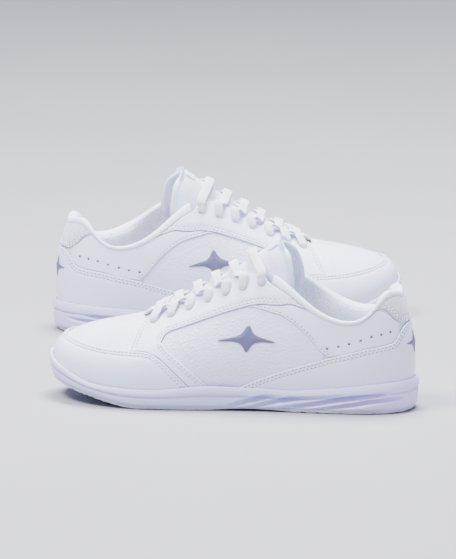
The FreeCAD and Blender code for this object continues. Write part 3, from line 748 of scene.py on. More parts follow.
def eyestay_piece(side):
    """The overlay with the eyelets, and its leg down to the sole."""
    rim = [(0.681, 0.985), (0.60, 0.985), (0.50, 0.985), (0.455, 0.97), (0.431, 0.930), (0.40, 0.926),
           (0.355, 0.925)]
    lines = [curve(STAY_LOW), curve(LEG_REAR), straight(LEG_REAR[-1], LEG_FRONT[-1]),
             curve(list(reversed(LEG_FRONT[3:]))),
             curve(list(reversed(LEG_FRONT[:4]))), straight(LEG_FRONT[0], (0.750, 0.985)),
             straight((0.750, 0.985), rim[0]), curve(rim), straight(rim[-1], STAY_LOW[0])]
    lines = [on_side(line, side) for line in lines]
    holes = [circle(e, EYELET_R, side) for e in EYELETS]
    return leather(lines, OVERLAY, sewn=(0, 1, 4), holes=holes, seed=1.9, spacing=2.2, puff=0.1)


def star_piece(centre, wide, tall, layer, side=1):
    """A four-pointed star with a raised ridge along each arm."""
    s, t = centre
    waist, blunt, tip = 0.30, 0.004, 0.03
    half = []
    for way in (-1, 1):
        left = curve([(s - wide, t + way * blunt), (s - wide * waist, t + way * tall * waist),
                      (s - wide * tip, t + way * tall)], 0.7)
        right = curve([(s + wide * tip, t + way * tall), (s + wide * waist, t + way * tall * waist),
                       (s + wide, t + way * blunt)], 0.7)
        half.append((left, right))
    (low_left, low_right), (high_left, high_right) = half
    outline = np.concatenate([low_left, low_right, high_right[::-1], high_left[::-1]])
    outline = on_side(outline, side)

    def top(points, near):
        return layer[1] - 0.35 + np.minimum(near, 2.6) * 0.22 - rounded(near, 0.3)

    bottom = level(layer[0])
    return sheet_solid([outline], on_upper, top, bottom, 0.9, (0.15, 0.35, 0.7, 1.2), CHART)


# ==== the collar and the inside ===================================================================
def padding_here(s):
    """1 where the collar is fully padded, 0 where the pad has run out towards the throat."""
    away = np.minimum(s % 2, 2 - s % 2)
    return np.clip(1 - (away - 0.31) / 0.06, 0, 1)


def collar_section(s, section):
    """Points of the collar at each s, for a section of (t, height full, height thin) stops."""
    fine = through(section, 4 * len(section))
    pad = padding_here(s)[:, None]
    t = np.repeat(fine[None, :, 0], len(s), axis=0)
    height = fine[None, :, 1] * pad + fine[None, :, 2] * (1 - pad)
    return off_skin(np.repeat(s[:, None], len(fine), axis=1), t, height)


def ribbon(spots, thickness_in):
    """A closed strip with the outer face at spots and the inner face pushed by thickness_in vectors."""
    return capped(np.concatenate([spots, (spots + thickness_in)[:, ::-1]], axis=1))


def surface_normals(spots):
    """Unit normals of a grid of points."""
    along = np.gradient(spots, axis=0)
    over = np.gradient(spots, axis=1)
    return unit(np.cross(along, over))


# sections of (t, height where the collar is padded, height where it is thin)
BINDING_SECTION = ((0.928, 1.5, 1.5), (0.932, 2.35, 2.35), (0.95, 2.75, 2.7), (0.975, 2.75, 2.6),
                   (0.995, 2.1, 1.7), (1.004, 0.4, 0.0), (1.004, -1.8, -1.6), (0.992, -3.9, -2.7),
                   (0.972, -5.2, -3.1))
PAD_SECTION = ((0.985, -3.6, -2.4), (0.96, -5.6, -3.1), (0.92, -6.7, -3.3), (0.85, -7.2, -3.4),
               (0.77, -6.6, -3.4), (0.70, -5.1, -3.3), (0.655, -3.9, -3.2), (0.63, -3.3, -3.1))
PAD_BACK = ((0.985, -2.2, -1.6), (0.90, -2.4, -1.6), (0.75, -2.4, -1.6), (0.63, -2.4, -1.6))
TAPE_THICK = 0.55


def collar_line():
    """Places round the padded part of the opening."""
    return np.linspace(-COLLAR_END, COLLAR_END, 260)


def binding_piece():
    """The tape folded over the rim of the opening."""
    s = collar_line()
    spots = collar_section(s, BINDING_SECTION)
    normals = surface_normals(spots)
    crest = normals[:, normals.shape[1] // 2]
    inwards = np.where(crest[:, 2] > 0, -1, 1)[:, None, None]
    return ribbon(spots, normals * inwards * TAPE_THICK)


def padding_piece():
    """The padded inside of the collar, down to its seam with the lining."""
    s = collar_line()
    spots = collar_section(s, PAD_SECTION)
    back = collar_section(s, PAD_BACK)
    rows = spots.shape[1]
    pick = np.linspace(0, back.shape[1] - 1, rows).round().astype(int)
    return ribbon(spots, back[:, pick] - spots)


def top_of_lining(s):
    """Where the lining ends: under the collar foam, and higher at the throat."""
    away = np.minimum(s % 2, 2 - s % 2)
    rise = np.clip((away - 0.38) / 0.07, 0, 1)
    return 0.64 + (0.76 - 0.64) * rise * rise * (3 - 2 * rise)


def lining_piece():
    """The textile lining, all round."""
    s = np.linspace(0.5, 2.5, 220, endpoint=False)
    share = np.linspace(0, 1, 24)
    t = 0.015 + (top_of_lining(s)[:, None] - 0.015) * share
    full = np.repeat(s[:, None], len(share), axis=1)
    inner = off_skin(full, t, np.full(t.shape, LINING[0]))
    outer = off_skin(full, t, np.full(t.shape, LINING[1]))
    loop = np.concatenate([inner, outer[:, ::-1]], axis=1)
    return ring_of(loop)


# ==== the sole ====================================================================================
# side-view paths of the sidewall's flutes: (x, z) from the pointed rear tip to where each runs out
FLUTES = (
    (((6, 11.6), (26, 9.8), (43, 6.9), (68, 2.6)), 4.6, 4.2),
    (((17, 14.4), (41, 12.4), (60, 8.7), (90, 2.8)), 5.2, 5.0),
    (((43, 15.2), (69, 13.2), (88, 9.4), (112, 2.6)), 5.0, 5.0),
    (((84, 14.2), (101, 11.2), (126, 3.0)), 4.0, 4.4),
)
LIP_BAND = 6.4


def flute_depth(x, z):
    """How deep the sidewall's flutes cut at side-view points."""
    depth = np.zeros(x.shape)
    for path, deep, wide in FLUTES:
        line = through(path, 80)
        line_z = np.interp(x, line[:, 0], line[:, 1])
        slope = np.gradient(line[:, 1], line[:, 0])
        lean = 1 / np.sqrt(1 + np.interp(x, line[:, 0], slope) ** 2)
        share = np.clip((x - line[0, 0]) / (line[-1, 0] - line[0, 0]), 0, 1)
        size = np.clip(np.sin(np.pi * np.clip(share, 0, 1) ** 0.8), 0, 1) ** 0.7
        q = (z - line_z) * lean
        low = np.clip(1 + q / (wide * (0.35 + 0.65 * size) + 0.01), 0, 1)
        high = np.clip(1 - q / 0.75, 0, 1)
        cut = np.where(q < 0, eased(low), eased(high))
        ridge = np.exp(-((q - 2.0) / 1.1) ** 2) * 0.6 * size
        depth = np.maximum(depth, deep * size * cut) - ridge * (cut < 0.02)
    return depth


def midsole_section(s):
    """The sidewall's loop of points at each s: up the outside, over the lip, down the inside."""
    rise = np.linspace(0, 1, 62)
    ones = np.ones((len(s), len(rise)))
    full = s[:, None] * ones
    lip_t = heel_to_toe(LIP, s)
    low = feather_out(s, np.full(len(s), SOLE_OUT))
    low[:, 2] = sole_bottom(low[:, 0]) + OUTSOLE + 0.1
    lip = off_skin(s, lip_t, np.full(len(s), WALL_LIP))
    belly = feather_out(s, heel_to_toe(SWELL, s) + 1.2)
    belly[:, 2] = (low[:, 2] + lip[:, 2]) / 2
    b = rise[None, :, None]
    outer = low[:, None] * (1 - b) ** 2 + belly[:, None] * (2 * b * (1 - b)) + lip[:, None] * b * b
    tall = (lip[:, 2] - low[:, 2])[:, None]
    below = lip[:, None, 2] - outer[..., 2]
    band = np.minimum(LIP_BAND, tall * 0.42)
    place = np.clip(below / band, 0, 1)
    bead = 0.75 * np.sqrt(np.clip(1 - (2 * place - 0.9) ** 2, 0, 1)) * (place < 0.999)
    crease = 0.85 * np.exp(-((below - band) / 0.75) ** 2)
    foot = 0.5 * np.exp(-((outer[..., 2] - low[:, None, 2]) / 0.7) ** 2)
    height = outer[..., 2] - sole_bottom(outer[..., 0])
    cut = flute_depth(outer[..., 0], height) * np.clip((below - band * 0.55) / 1.5, 0, 1)
    push = bead - crease - foot - cut
    outer = outer + plan_normal(full) * push[..., None]
    inner_lip = off_skin(s, lip_t, np.full(len(s), WALL_IN))
    turn = np.linspace(0, np.pi, 7)[1:-1]
    middle = (outer[:, -1] + inner_lip) / 2
    half = (outer[:, -1] - inner_lip) / 2
    up = unit(skin(s, lip_t + 0.01) - skin(s, lip_t)) * np.linalg.norm(half, axis=1)[:, None]
    over = (middle[:, None] + half[:, None] * np.cos(turn)[None, :, None]
            + up[:, None] * np.sin(turn)[None, :, None])
    feather = off_skin(s, np.zeros(len(s)), np.full(len(s), WALL_IN - 0.6))
    foot_in = feather_out(s, np.full(len(s), -6.0))
    foot_in[:, 2] = sole_bottom(foot_in[:, 0]) + OUTSOLE + 0.1
    down = [inner_lip * (1 - k) + feather * k for k in (0, 0.34, 0.67)]
    down += [feather * (1 - k) + foot_in * k for k in (0, 0.5, 1)]
    return np.concatenate([outer, over, np.stack(down, axis=1)], axis=1)


def midsole_piece():
    """The foam sidewall, all round."""
    s = np.linspace(0.5, 2.5, 620, endpoint=False)
    loop = midsole_section(s)
    return ring_of(loop)


def flat_place(points, height):
    """Plan points at a height."""
    return np.concatenate([points, np.asarray(height, float)[:, None]], axis=1)


def plan_loop(distance, count=300):
    """The feather line moved outwards, as a loop in plan."""
    s = np.linspace(0, 2, count, endpoint=False)
    return feather_out(s, np.full(count, distance))[:, :2]


def tread(points):
    """Depth of the tread's grooves: waves across the forefoot and heel, a smooth arch, a pivot disc."""
    x, y = points[:, 0], points[:, 1]
    wave = x + 2.6 * np.sin(y * 0.42)
    groove = np.clip(1 - np.abs((wave / 5.2) % 1 - 0.5) / 0.17, 0, 1)
    groove = eased(groove)
    zone = np.clip((x - 138) / 6, 0, 1) + np.clip((84 - x) / 6, 0, 1)
    ball = np.hypot(x - 186, y - 2)
    disc = np.clip((25 - ball) / 1.5, 0, 1)
    rings = np.clip(1 - np.abs((ball / 4.4) % 1 - 0.5) / 0.2, 0, 1)
    return 1.1 * np.clip(zone, 0, 1) * (groove * (1 - disc) + rings * disc)


def outsole_piece():
    """The rubber sole, with a bevelled heel, a raised arch and its tread."""
    loop = plan_loop(OUTSOLE_OUT)

    def top(points, near):
        return sole_bottom(points[:, 0]) + OUTSOLE - 0.02

    def bottom(points, near):
        x = points[:, 0]
        heel = np.clip((8.0 - x) / 8.0, 0, 1.3) * 1.9
        edge = rounded(near, 0.9)
        return sole_bottom(x) + arch(x) + np.maximum(heel, edge) + tread(points) * (near > 1e-4)

    return sheet_solid([loop], flat_place, top, bottom, 1.25, (0.15, 0.4, 0.8, 1.3), (1.0, 1.0))


def floor_height(x):
    """Height of the floor under the foot."""
    line = through(FLOOR, 200)
    return np.interp(x, line[:, 0], line[:, 1])


def insole_piece():
    """The removable insole: cloth over foam, a little dished under the heel."""
    loop = plan_loop(-4.25, 220)

    def top(points, near):
        x = points[:, 0]
        dish = 0.9 * np.clip(near / 20, 0, 1) * (0.5 + 0.5 * np.clip((90 - x) / 60, 0, 1))
        return floor_height(x) + INSOLE[1] - dish - rounded(near, 1.2)

    def bottom(points, near):
        return floor_height(points[:, 0]) + INSOLE[0]

    return sheet_solid([loop], flat_place, top, bottom, 3.0, (0.2, 0.5, 1.0, 1.6), (1.0, 1.0))


# ==== the tongue ==================================================================================
def rounded_top(u):
    """The share of its width that the tongue keeps at u: its top corners are cut round."""
    reach = np.clip((np.asarray(u, float) - 4.9) / 1.12, 0, 1)
    return 0.45 + 0.55 * np.sqrt(1 - reach ** 2)


def tongue_piece():
    """The whole tongue: leather face, padded middle, cloth back, rounded edges."""
    top = len(TONGUE) - 1.0
    u = np.linspace(0, top, 110)
    v = np.linspace(-1, 1, 57)
    grid_u, grid_v = np.meshgrid(u, v, indexing="ij")
    side_gap = (1 - np.abs(grid_v)) * 21
    end_gap = (top - grid_u) * 9.0
    near = np.minimum(side_gap, end_gap)
    face = rounded(near, 1.8)
    quilt = -0.9 * np.clip((near - 4.2) / 6, 0, 1) + 0.35 * np.exp(-((near - 3.6) / 0.7) ** 2)
    quilt = quilt * np.clip((grid_u - 0.8) / 0.5, 0, 1)
    cut_v = grid_v * rounded_top(grid_u)
    front = tongue_point(grid_u, cut_v, face + quilt * 0.55).reshape(*grid_u.shape, 3)
    back = tongue_point(grid_u, cut_v, TONGUE_THICK - face).reshape(*grid_u.shape, 3)
    count = front.shape[0] * front.shape[1]
    columns, rows = front.shape[:2]
    faces = grid_faces(columns, rows)
    backs = [tuple(i + count for i in reversed(f)) for f in faces]
    rims = []
    for i in range(columns - 1):
        for j, flip in ((0, False), (rows - 1, True)):
            a, b = i * rows + j, (i + 1) * rows + j
            quad = (b, a, a + count, b + count)
            rims.append(tuple(reversed(quad)) if flip else quad)
    for j in range(rows - 1):
        for i, flip in ((0, True), (columns - 1, False)):
            a, b = i * rows + j, i * rows + j + 1
            quad = (b, a, a + count, b + count)
            rims.append(tuple(reversed(quad)) if flip else quad)
    points = np.concatenate([front.reshape(-1, 3), back.reshape(-1, 3)])
    cloth = [0] * len(faces) + [1] * len(backs) + [0] * len(rims)
    return (points, faces + backs + rims), cloth


def tongue_edge_line(inset, depth, low_u=2.6):
    """A line along the tongue's free edge, from one side over the top to the other."""
    top = len(TONGUE) - 1.0
    side_v = 1 - inset / 21
    top_u = top - inset / 9.0
    corner = 0.28
    up = [(u, side_v) for u in np.linspace(low_u, top_u - corner * 1.6, 60)]
    turn = [(top_u - corner * 1.6 * (1 - math.sin(a)), side_v - corner * (1 - math.cos(a)))
            for a in np.linspace(0, math.pi / 2, 14)[1:]]
    over = [(top_u, v) for v in np.linspace(side_v - corner, 0, 30)[1:]]
    half = up + turn + over
    line = np.array(half + [(u, -v) for u, v in reversed(half[:-1])])
    line[:, 1] *= rounded_top(line[:, 0])
    return line, tongue_point(line[:, 0], line[:, 1], np.full(len(line), depth))


def tongue_binding_piece():
    """Tape folded over the tongue's free edge."""
    _, outer = tongue_edge_line(1.1, -0.15)
    _, inner = tongue_edge_line(1.1, TONGUE_THICK + 0.15)
    _, rim = tongue_edge_line(-0.35, TONGUE_THICK / 2)
    _, outer_low = tongue_edge_line(3.0, 0.05)
    _, inner_low = tongue_edge_line(3.0, TONGUE_THICK - 0.05)
    _, outer_in = tongue_edge_line(3.0, 0.6)
    _, inner_in = tongue_edge_line(3.0, TONGUE_THICK - 0.6)
    _, rim_in = tongue_edge_line(0.6, TONGUE_THICK / 2)
    return capped(np.stack([outer_low, outer, rim, inner, inner_low, inner_in, rim_in, outer_in], axis=1))


def tongue_place(points, height):
    """The place of (u, v) points at a height over the tongue."""
    return tongue_point(points[:, 0], points[:, 1], -np.asarray(height, float))


def tongue_stitch_piece():
    """The row of stitches inside the tongue's tape."""
    line, _ = tongue_edge_line(3.9, 0.0)
    return stitches(line, -0.35, tongue_place, trim=1.5)


def patch_loop(u_low, u_high, half_v):
    """A rectangle with rounded corners in tongue coordinates."""
    middle_u, half_u = (u_low + u_high) / 2, (u_high - u_low) / 2
    a = np.linspace(0, 2 * math.pi, 72, endpoint=False)
    power = 0.28
    u = middle_u + half_u * np.sign(np.cos(a)) * np.abs(np.cos(a)) ** power
    v = half_v * np.sign(np.sin(a)) * np.abs(np.sin(a)) ** power
    loop = np.stack([u, v], axis=1)
    return resample(np.concatenate([loop, loop[:1]]), 0.9, tongue_place)[:-1]


def label_piece():
    """A blank woven label with a raised rim."""
    loop = patch_loop(4.75, 5.75, 0.30)

    def top(points, near):
        rim = 0.25 * np.exp(-((near - 1.1) / 0.5) ** 2)
        return 0.95 + rim - rounded(near, 0.35)

    bottom = level(0.1)
    return sheet_solid([loop], tongue_place, top, bottom, 1.2, (0.15, 0.4, 0.8, 1.1, 1.5, 1.9), (9.0, 21.0))


def keeper_piece():
    """The loop on the tongue that keeps the lace in the middle."""
    loop = patch_loop(2.68, 3.02, 0.24)

    def top(points, near):
        return 0.95 - rounded(near, 0.4)

    bottom = level(0.05)
    return sheet_solid([loop], tongue_place, top, bottom, 1.2, (0.15, 0.4, 0.8), (28.0, 21.0))


# ==== the lace ====================================================================================
def eyelet(k, side, height):
    """The middle of an eyelet at a height over the skin."""
    return upper_spot(EYELETS[k][0], EYELETS[k][1], side, height)


def upper_spot(s, t, side, height):
    """One point at a height over the skin."""
    s = s if side > 0 else 2 - s
    return off_skin(np.array([s]), np.array([t]), np.array([float(height)]))[0]


def over_tongue(x, v, above):
    """A point above the tongue, at the section whose crest is at x along the shoe."""
    crests = [section[0][0] for section in TONGUE]
    k = next(i for i in range(len(crests) - 1) if crests[i + 1] <= x <= crests[i])
    return tongue_point(k + (crests[k] - x) / (crests[k] - crests[k + 1]), v, -above)[0]


def lace_section(count=18):
    """The lace's section, one wide and one thick: a flat loop with round ends."""
    a = np.linspace(0, 2 * math.pi, count, endpoint=False)
    wide = np.sign(np.cos(a)) * np.abs(np.cos(a)) ** 0.75 / 2
    thick = np.sign(np.sin(a)) * np.abs(np.sin(a)) ** 0.8 / 2
    return np.stack([wide, thick], axis=1)


def strand(stops):
    """A flat woven strip through (point, width) stops, with its ribs."""
    spots = np.array([spot for spot, _ in stops])
    widths = np.array([width for _, width in stops])
    weights = blend_weights(np.linspace(0, len(stops) - 1, 40 * len(stops)), len(stops))
    fine, width = weights @ spots, weights @ widths
    reach = reach_along(fine)
    steps = np.linspace(0, reach[-1], max(4, int(reach[-1] / 0.5)))
    fine = at_reach(steps, reach, fine)
    width = np.interp(steps, reach, width)
    throat = eyelet(0, 1, 0) - eyelet(6, 1, 0)
    throat[1] = 0
    along = unit(np.gradient(fine, axis=0))
    wide = unit(throat - along * (along @ throat)[:, None])
    thick = np.cross(along, wide)
    rib = 1 + 0.035 * np.sin(steps * 2 * math.pi / 1.5)
    section = lace_section()
    points = (fine[:, None] + wide[:, None] * (section[None, :, :1] * (width * rib)[:, None, None])
              + thick[:, None] * (section[None, :, 1:] * (LACE[1] * rib)[:, None, None]))
    return capped(points)


def into_eyelet(k, side):
    """A strand's last stops: over the rim and down to the eyelet's mouth."""
    s, t = EYELETS[k]
    over = OVERLAY[1] + LACE[1] / 2
    at_rim, at_mouth = RIM_CLEAR[side]
    return [(upper_spot(s, (t + 1) / 2 + 0.02, side, over + at_rim), LACE[0]),
            (upper_spot(s, t + 0.025, side, over + at_mouth), LACE_IN_HOLE + 3.3),
            (upper_spot(s, t - 0.004, side, over - 0.2), LACE_IN_HOLE + 2.4),
            (upper_spot(s, t - 0.008, side, 0.3), LACE_IN_HOLE + 0.6)]


def over_the_tongue(x, side, height, lean, ends):
    """A strand's stops over the tongue, with its ends raised or lowered."""
    stops = []
    for step in (1, 0.5, 0, -0.5, -1):
        extra = ends[0 if step > 0 else 1] * step * step
        stops.append((over_tongue(x + step * lean, side * step * SHOULDER, height + extra), LACE[0]))
    return stops


def lace_piece():
    """The whole lacing: the lowest bar, the crossings, the hidden runs and the tucked ends."""
    lowest_x = eyelet(0, 1, 0)[0] + 5.0
    bar = over_the_tongue(lowest_x, 1, LACE_OVER + 0.6, 0, (4.2, 4.2))
    strips = [strand(into_eyelet(0, 1)[::-1] + bar + into_eyelet(0, -1))]
    for k in range(len(EYELETS) - 1):
        cross_x = (eyelet(k, 1, 0)[0] + eyelet(k + 1, 1, 0)[0]) / 2 + CROSS_FORWARD
        for side, lift in ((1, 0.0), (-1, LACE_LIFT)):
            start = [(over_tongue(cross_x + CROSS_LEAN * 1.6, side * FLANK, 1.0), LACE[0])]
            rise = max(0.6, 3.8 - 1.4 * k)
            middle = over_the_tongue(cross_x, side, LACE_OVER + lift, CROSS_LEAN, (-0.9, rise))
            strips.append(strand(start + middle + into_eyelet(k + 1, -side)))
    for side in (1, -1):
        for s, t in EYELETS[:-1]:
            strips.append(strand([(upper_spot(s, t - 0.01, side, LACE_UNDER), LACE_IN_HOLE),
                                  (upper_spot(s, 0.955, side, LACE_UNDER), LACE_IN_HOLE)]))
        tail = ((0.450, 0.90, LACE_UNDER), (0.458, 0.84, -3.4), (0.478, 0.78, TAIL_DEPTH),
                (0.50, 0.73, TAIL_DEPTH))
        strips.append(strand([(upper_spot(s, t, side, depth), LACE_IN_HOLE) for s, t, depth in tail]))
    return joined(*strips)


def vent_shade_disc_piece(side):
    """Dark discs seen through the vent holes: painted shade that stands for the depth of the holes."""
    discs = []
    for vent in VENTS:
        loop = circle(vent, VENT_R + 0.35, side, 12)
        discs.append(sheet_solid([loop], on_upper, level(VENT_SHADE_DISC[1]), level(VENT_SHADE_DISC[0]), 0.8, (), CHART))
    return joined(*discs)


# ==== materials ===================================================================================
class Nodes:
    """A small helper that builds one node material."""

    def __init__(self, name):
        self.material = bpy.data.materials.new(name)
        self.material.use_nodes = True
        self.tree = self.material.node_tree
        self.shader = self.tree.nodes["Principled BSDF"]
        self.place = self.new("ShaderNodeTexCoord").outputs["Object"]
        self.bumps = None

    def new(self, kind):
        return self.tree.nodes.new(kind)

    def link(self, a, b):
        self.tree.links.new(a, b)

    def set(self, **values):
        for name, value in values.items():
            self.shader.inputs[name.replace("_", " ")].default_value = value

    def noise(self, scale, detail=3.0, rough=0.5, distortion=0.0):
        node = self.new("ShaderNodeTexNoise")
        node.inputs["Scale"].default_value = scale
        node.inputs["Detail"].default_value = detail
        node.inputs["Roughness"].default_value = rough
        node.inputs["Distortion"].default_value = distortion
        self.link(self.place, node.inputs["Vector"])
        return node.outputs["Fac"]

    def cells(self, scale, feature="F1", smooth=None):
        node = self.new("ShaderNodeTexVoronoi")
        node.feature = feature
        node.inputs["Scale"].default_value = scale
        if smooth is not None:
            node.inputs["Smoothness"].default_value = smooth
        self.link(self.place, node.inputs["Vector"])
        return node.outputs["Distance"]

    def ramp(self, value, stops):
        node = self.new("ShaderNodeValToRGB")
        ramp = node.color_ramp
        while len(ramp.elements) < len(stops):
            ramp.elements.new(0.5)
        for element, (position, colour) in zip(ramp.elements, stops):
            element.position = position
            element.color = (*colour, 1)
        self.link(value, node.inputs["Fac"])
        return node.outputs["Color"]

    def spread(self, value, low, high, to_low, to_high):
        node = self.new("ShaderNodeMapRange")
        for name, number in (("From Min", low), ("From Max", high), ("To Min", to_low), ("To Max", to_high)):
            node.inputs[name].default_value = number
        self.link(value, node.inputs["Value"])
        return node.outputs["Result"]

    def mix(self, factor, a, b, kind="MIX"):
        node = self.new("ShaderNodeMix")
        node.data_type = "RGBA"
        node.blend_type = kind
        for socket, value in ((node.inputs[0], factor), (node.inputs[6], a), (node.inputs[7], b)):
            if isinstance(value, (int, float)):
                socket.default_value = value
            elif isinstance(value, tuple):
                socket.default_value = (*value, 1)
            else:
                self.link(value, socket)
        return node.outputs[2]

    def bump(self, height, strength, distance=0.001):
        node = self.new("ShaderNodeBump")
        node.inputs["Strength"].default_value = strength
        node.inputs["Distance"].default_value = distance
        self.link(height, node.inputs["Height"])
        if self.bumps:
            self.link(self.bumps, node.inputs["Normal"])
        self.bumps = node.outputs["Normal"]

    def finish(self, colour, roughness=None):
        if isinstance(colour, tuple):
            self.shader.inputs["Base Color"].default_value = (*colour, 1)
        else:
            self.link(colour, self.shader.inputs["Base Color"])
        if roughness is not None:
            self.link(roughness, self.shader.inputs["Roughness"])
        if self.bumps:
            self.link(self.bumps, self.shader.inputs["Normal"])
        return self.material


def leather_material(name, light, shade, rough, grain, pebble=0.0):
    """Coated leather: faint cloudy colour, fine grain, faint creases, pebbles where asked."""
    n = Nodes(name)
    cloud = n.noise(38.0, 4.0, 0.55)
    colour = n.ramp(cloud, ((0.35, shade), (0.62, light)))
    fine = n.cells(1150.0, "SMOOTH_F1", 0.6)
    soft = n.noise(260.0, 4.0, 0.6, 0.4)
    if pebble:
        big = n.cells(620.0, "SMOOTH_F1", 0.5)
        n.bump(big, pebble, 0.0007)
    n.bump(fine, grain, 0.0005)
    n.bump(soft, 0.14, 0.0008)
    n.set(Specular_IOR_Level=0.42)
    return n.finish(colour, n.spread(soft, 0.3, 0.7, rough - 0.05, rough + 0.07))


def mesh_material(name, light, dark, scale, strength):
    """Knitted or woven cloth with small open cells."""
    n = Nodes(name)
    cell = n.cells(scale)
    cloud = n.noise(55.0, 3.0)
    weave = n.ramp(cell, ((0.10, dark), (0.42, light)))
    shade = n.ramp(cloud, ((0.3, (0.93, 0.93, 0.95)), (0.7, (1.0, 1.0, 1.0))))
    colour = n.mix(1.0, weave, shade, "MULTIPLY")
    n.bump(cell, strength, 0.0006)
    n.set(Sheen_Weight=0.15, Specular_IOR_Level=0.25)
    return n.finish(colour, n.spread(cloud, 0.3, 0.7, 0.78, 0.92))


def two_tone_material(name, noise, dark, light, bump, rough):
    """One noise gives the two tones, the bump and the range of roughness."""
    n = Nodes(name)
    grain = n.noise(*noise)
    colour = n.ramp(grain, ((0.3, dark), (0.7, light)))
    n.bump(grain, *bump)
    return n.finish(colour, n.spread(grain, 0.3, 0.7, *rough))


# slot, name, light, dark, scale of the cells, strength of the bump
CLOTHS = (
    ("lining_mesh", "lining_mesh", (0.80, 0.81, 0.90), (0.58, 0.60, 0.74), 700.0, 0.7),
    ("insole_cloth", "insole_cloth", (0.78, 0.79, 0.88), (0.62, 0.63, 0.74), 1100.0, 0.5),
    ("binding", "binding_tape", (0.76, 0.79, 0.91), (0.66, 0.70, 0.85), 1700.0, 0.35),
    ("tongue_tape", "tongue_tape", (0.60, 0.69, 0.88), (0.50, 0.59, 0.80), 1700.0, 0.35),
    # the vent discs: painted shade, a dark cell pattern that stands for the depth of the vent holes
    ("vent", "vent_painted_shade", (0.18, 0.19, 0.27), (0.10, 0.10, 0.16), 1500.0, 0.5),
    ("label", "woven_label", (0.66, 0.72, 0.86), (0.55, 0.62, 0.78), 1500.0, 0.4),
)
# slot, name, noise, dark, light, bump, roughness
TWO_TONES = (
    ("board", "fibre_board", (900.0, 6.0, 0.8, 1.2), (0.40, 0.38, 0.36), (0.55, 0.52, 0.49),
     (0.4, 0.0005), (0.8, 0.95)),
    ("thread", "sewing_thread", (2600.0, 2.0), (0.76, 0.76, 0.83), (0.88, 0.88, 0.92),
     (0.3, 0.0002), (0.5, 0.65)),
    # painted shadow: the dark strips under the stitches
    ("seam_shadow", "painted_seam_shadow", (1300.0, 3.0), (0.10, 0.10, 0.18), (0.17, 0.17, 0.27),
     (0.3, 0.0002), (0.7, 0.8)),
    # raw cut edge tone, darkened further as painted shade along the overlay's step
    ("cut_edge_and_shade", "cut_edge_painted_shade", (1100.0, 4.0, 0.7), (0.24, 0.24, 0.37), (0.36, 0.36, 0.50),
     (0.3, 0.0003), (0.75, 0.9)),
    ("aglet", "aglet_plastic", (1500.0, 3.0), (0.78, 0.79, 0.84), (0.84, 0.85, 0.89),
     (0.05, 0.0003), (0.2, 0.32)),
    ("emblem", "emblem_film", (900.0, 4.0, 0.6), (0.085, 0.088, 0.175), (0.12, 0.125, 0.23),
     (0.15, 0.0004), (0.32, 0.45)),
)


def make_materials():
    """Every material, by the name that build() calls it."""
    made = {}
    made["leather_white"] = leather_material("white_leather", (0.76, 0.785, 0.95), (0.73, 0.755, 0.93),
                                             0.40, 0.22)
    made["soft_leather"] = leather_material("pebbled_leather", (0.73, 0.74, 0.925), (0.69, 0.70, 0.895),
                                            0.55, 0.25, 0.5)

    n = Nodes("heel_suede")
    mottled = n.noise(420.0, 6.0, 0.7, 0.6)
    nap = n.noise(2400.0, 3.0, 0.8)
    colour = n.ramp(mottled, ((0.33, (0.54, 0.55, 0.63)), (0.52, (0.66, 0.67, 0.74)),
                              (0.72, (0.76, 0.77, 0.83))))
    n.bump(nap, 0.6, 0.0004)
    n.bump(mottled, 0.35, 0.0005)
    n.set(Sheen_Weight=0.35, Sheen_Roughness=0.5, Specular_IOR_Level=0.2)
    made["tab_suede"] = n.finish(colour, n.spread(mottled, 0.3, 0.7, 0.82, 0.95))

    n = Nodes("moulded_foam")
    speck = n.cells(900.0)
    colour = n.ramp(speck, ((0.0, (0.47, 0.46, 0.70)), (0.16, (0.60, 0.59, 0.85)),
                            (0.5, (0.62, 0.61, 0.865))))
    fine = n.noise(1500.0, 4.0, 0.7)
    n.bump(fine, 0.16, 0.0005)
    n.bump(speck, 0.12, 0.0004)
    n.set(Specular_IOR_Level=0.4)
    made["midsole_foam"] = n.finish(colour, n.spread(fine, 0.3, 0.7, 0.42, 0.56))

    n = Nodes("outsole_rubber")
    cloud = n.noise(60.0, 4.0)
    colour = n.ramp(cloud, ((0.3, (0.50, 0.50, 0.62)), (0.7, (0.60, 0.60, 0.70))))
    n.bump(n.noise(1300.0, 4.0, 0.7), 0.2, 0.0004)
    n.set(Specular_IOR_Level=0.45)
    made["outsole_rubber"] = n.finish(colour, n.spread(cloud, 0.3, 0.7, 0.45, 0.6))

    for key, name, light, dark, scale, strength in CLOTHS:
        made[key] = mesh_material(name, light, dark, scale, strength)
    for key, name, noise, dark, light, bump, rough in TWO_TONES:
        made[key] = two_tone_material(name, noise, dark, light, bump, rough)

    n = Nodes("lace_weave")
    fine = n.cells(1500.0)
    ribs = n.noise(900.0, 3.0, 0.6)
    colour = n.ramp(fine, ((0.05, (0.86, 0.86, 0.90)), (0.6, (0.74, 0.75, 0.82))))
    n.bump(fine, 0.55, 0.0005)
    n.bump(ribs, 0.2, 0.0005)
    n.set(Sheen_Weight=0.2, Specular_IOR_Level=0.3)
    made["lace_cloth"] = n.finish(colour, n.spread(ribs, 0.3, 0.7, 0.75, 0.9))
    return made


# ==== placing =====================================================================================
SIDES = (("left", 1, 180.0 - YAW, -SPACING / 2), ("right", -1, YAW, SPACING / 2))


def to_world(points, flip, turn, shift):
    """Shoe-frame millimetres to the pair's frame in metres."""
    a = math.radians(turn)
    x, y = points[:, 0] - MIDDLE_X, points[:, 1] * flip
    placed = [x * math.cos(a) - y * math.sin(a), x * math.sin(a) + y * math.cos(a) + shift - MIDDLE_Y,
              points[:, 2]]
    return np.stack(placed, axis=1) / 1000


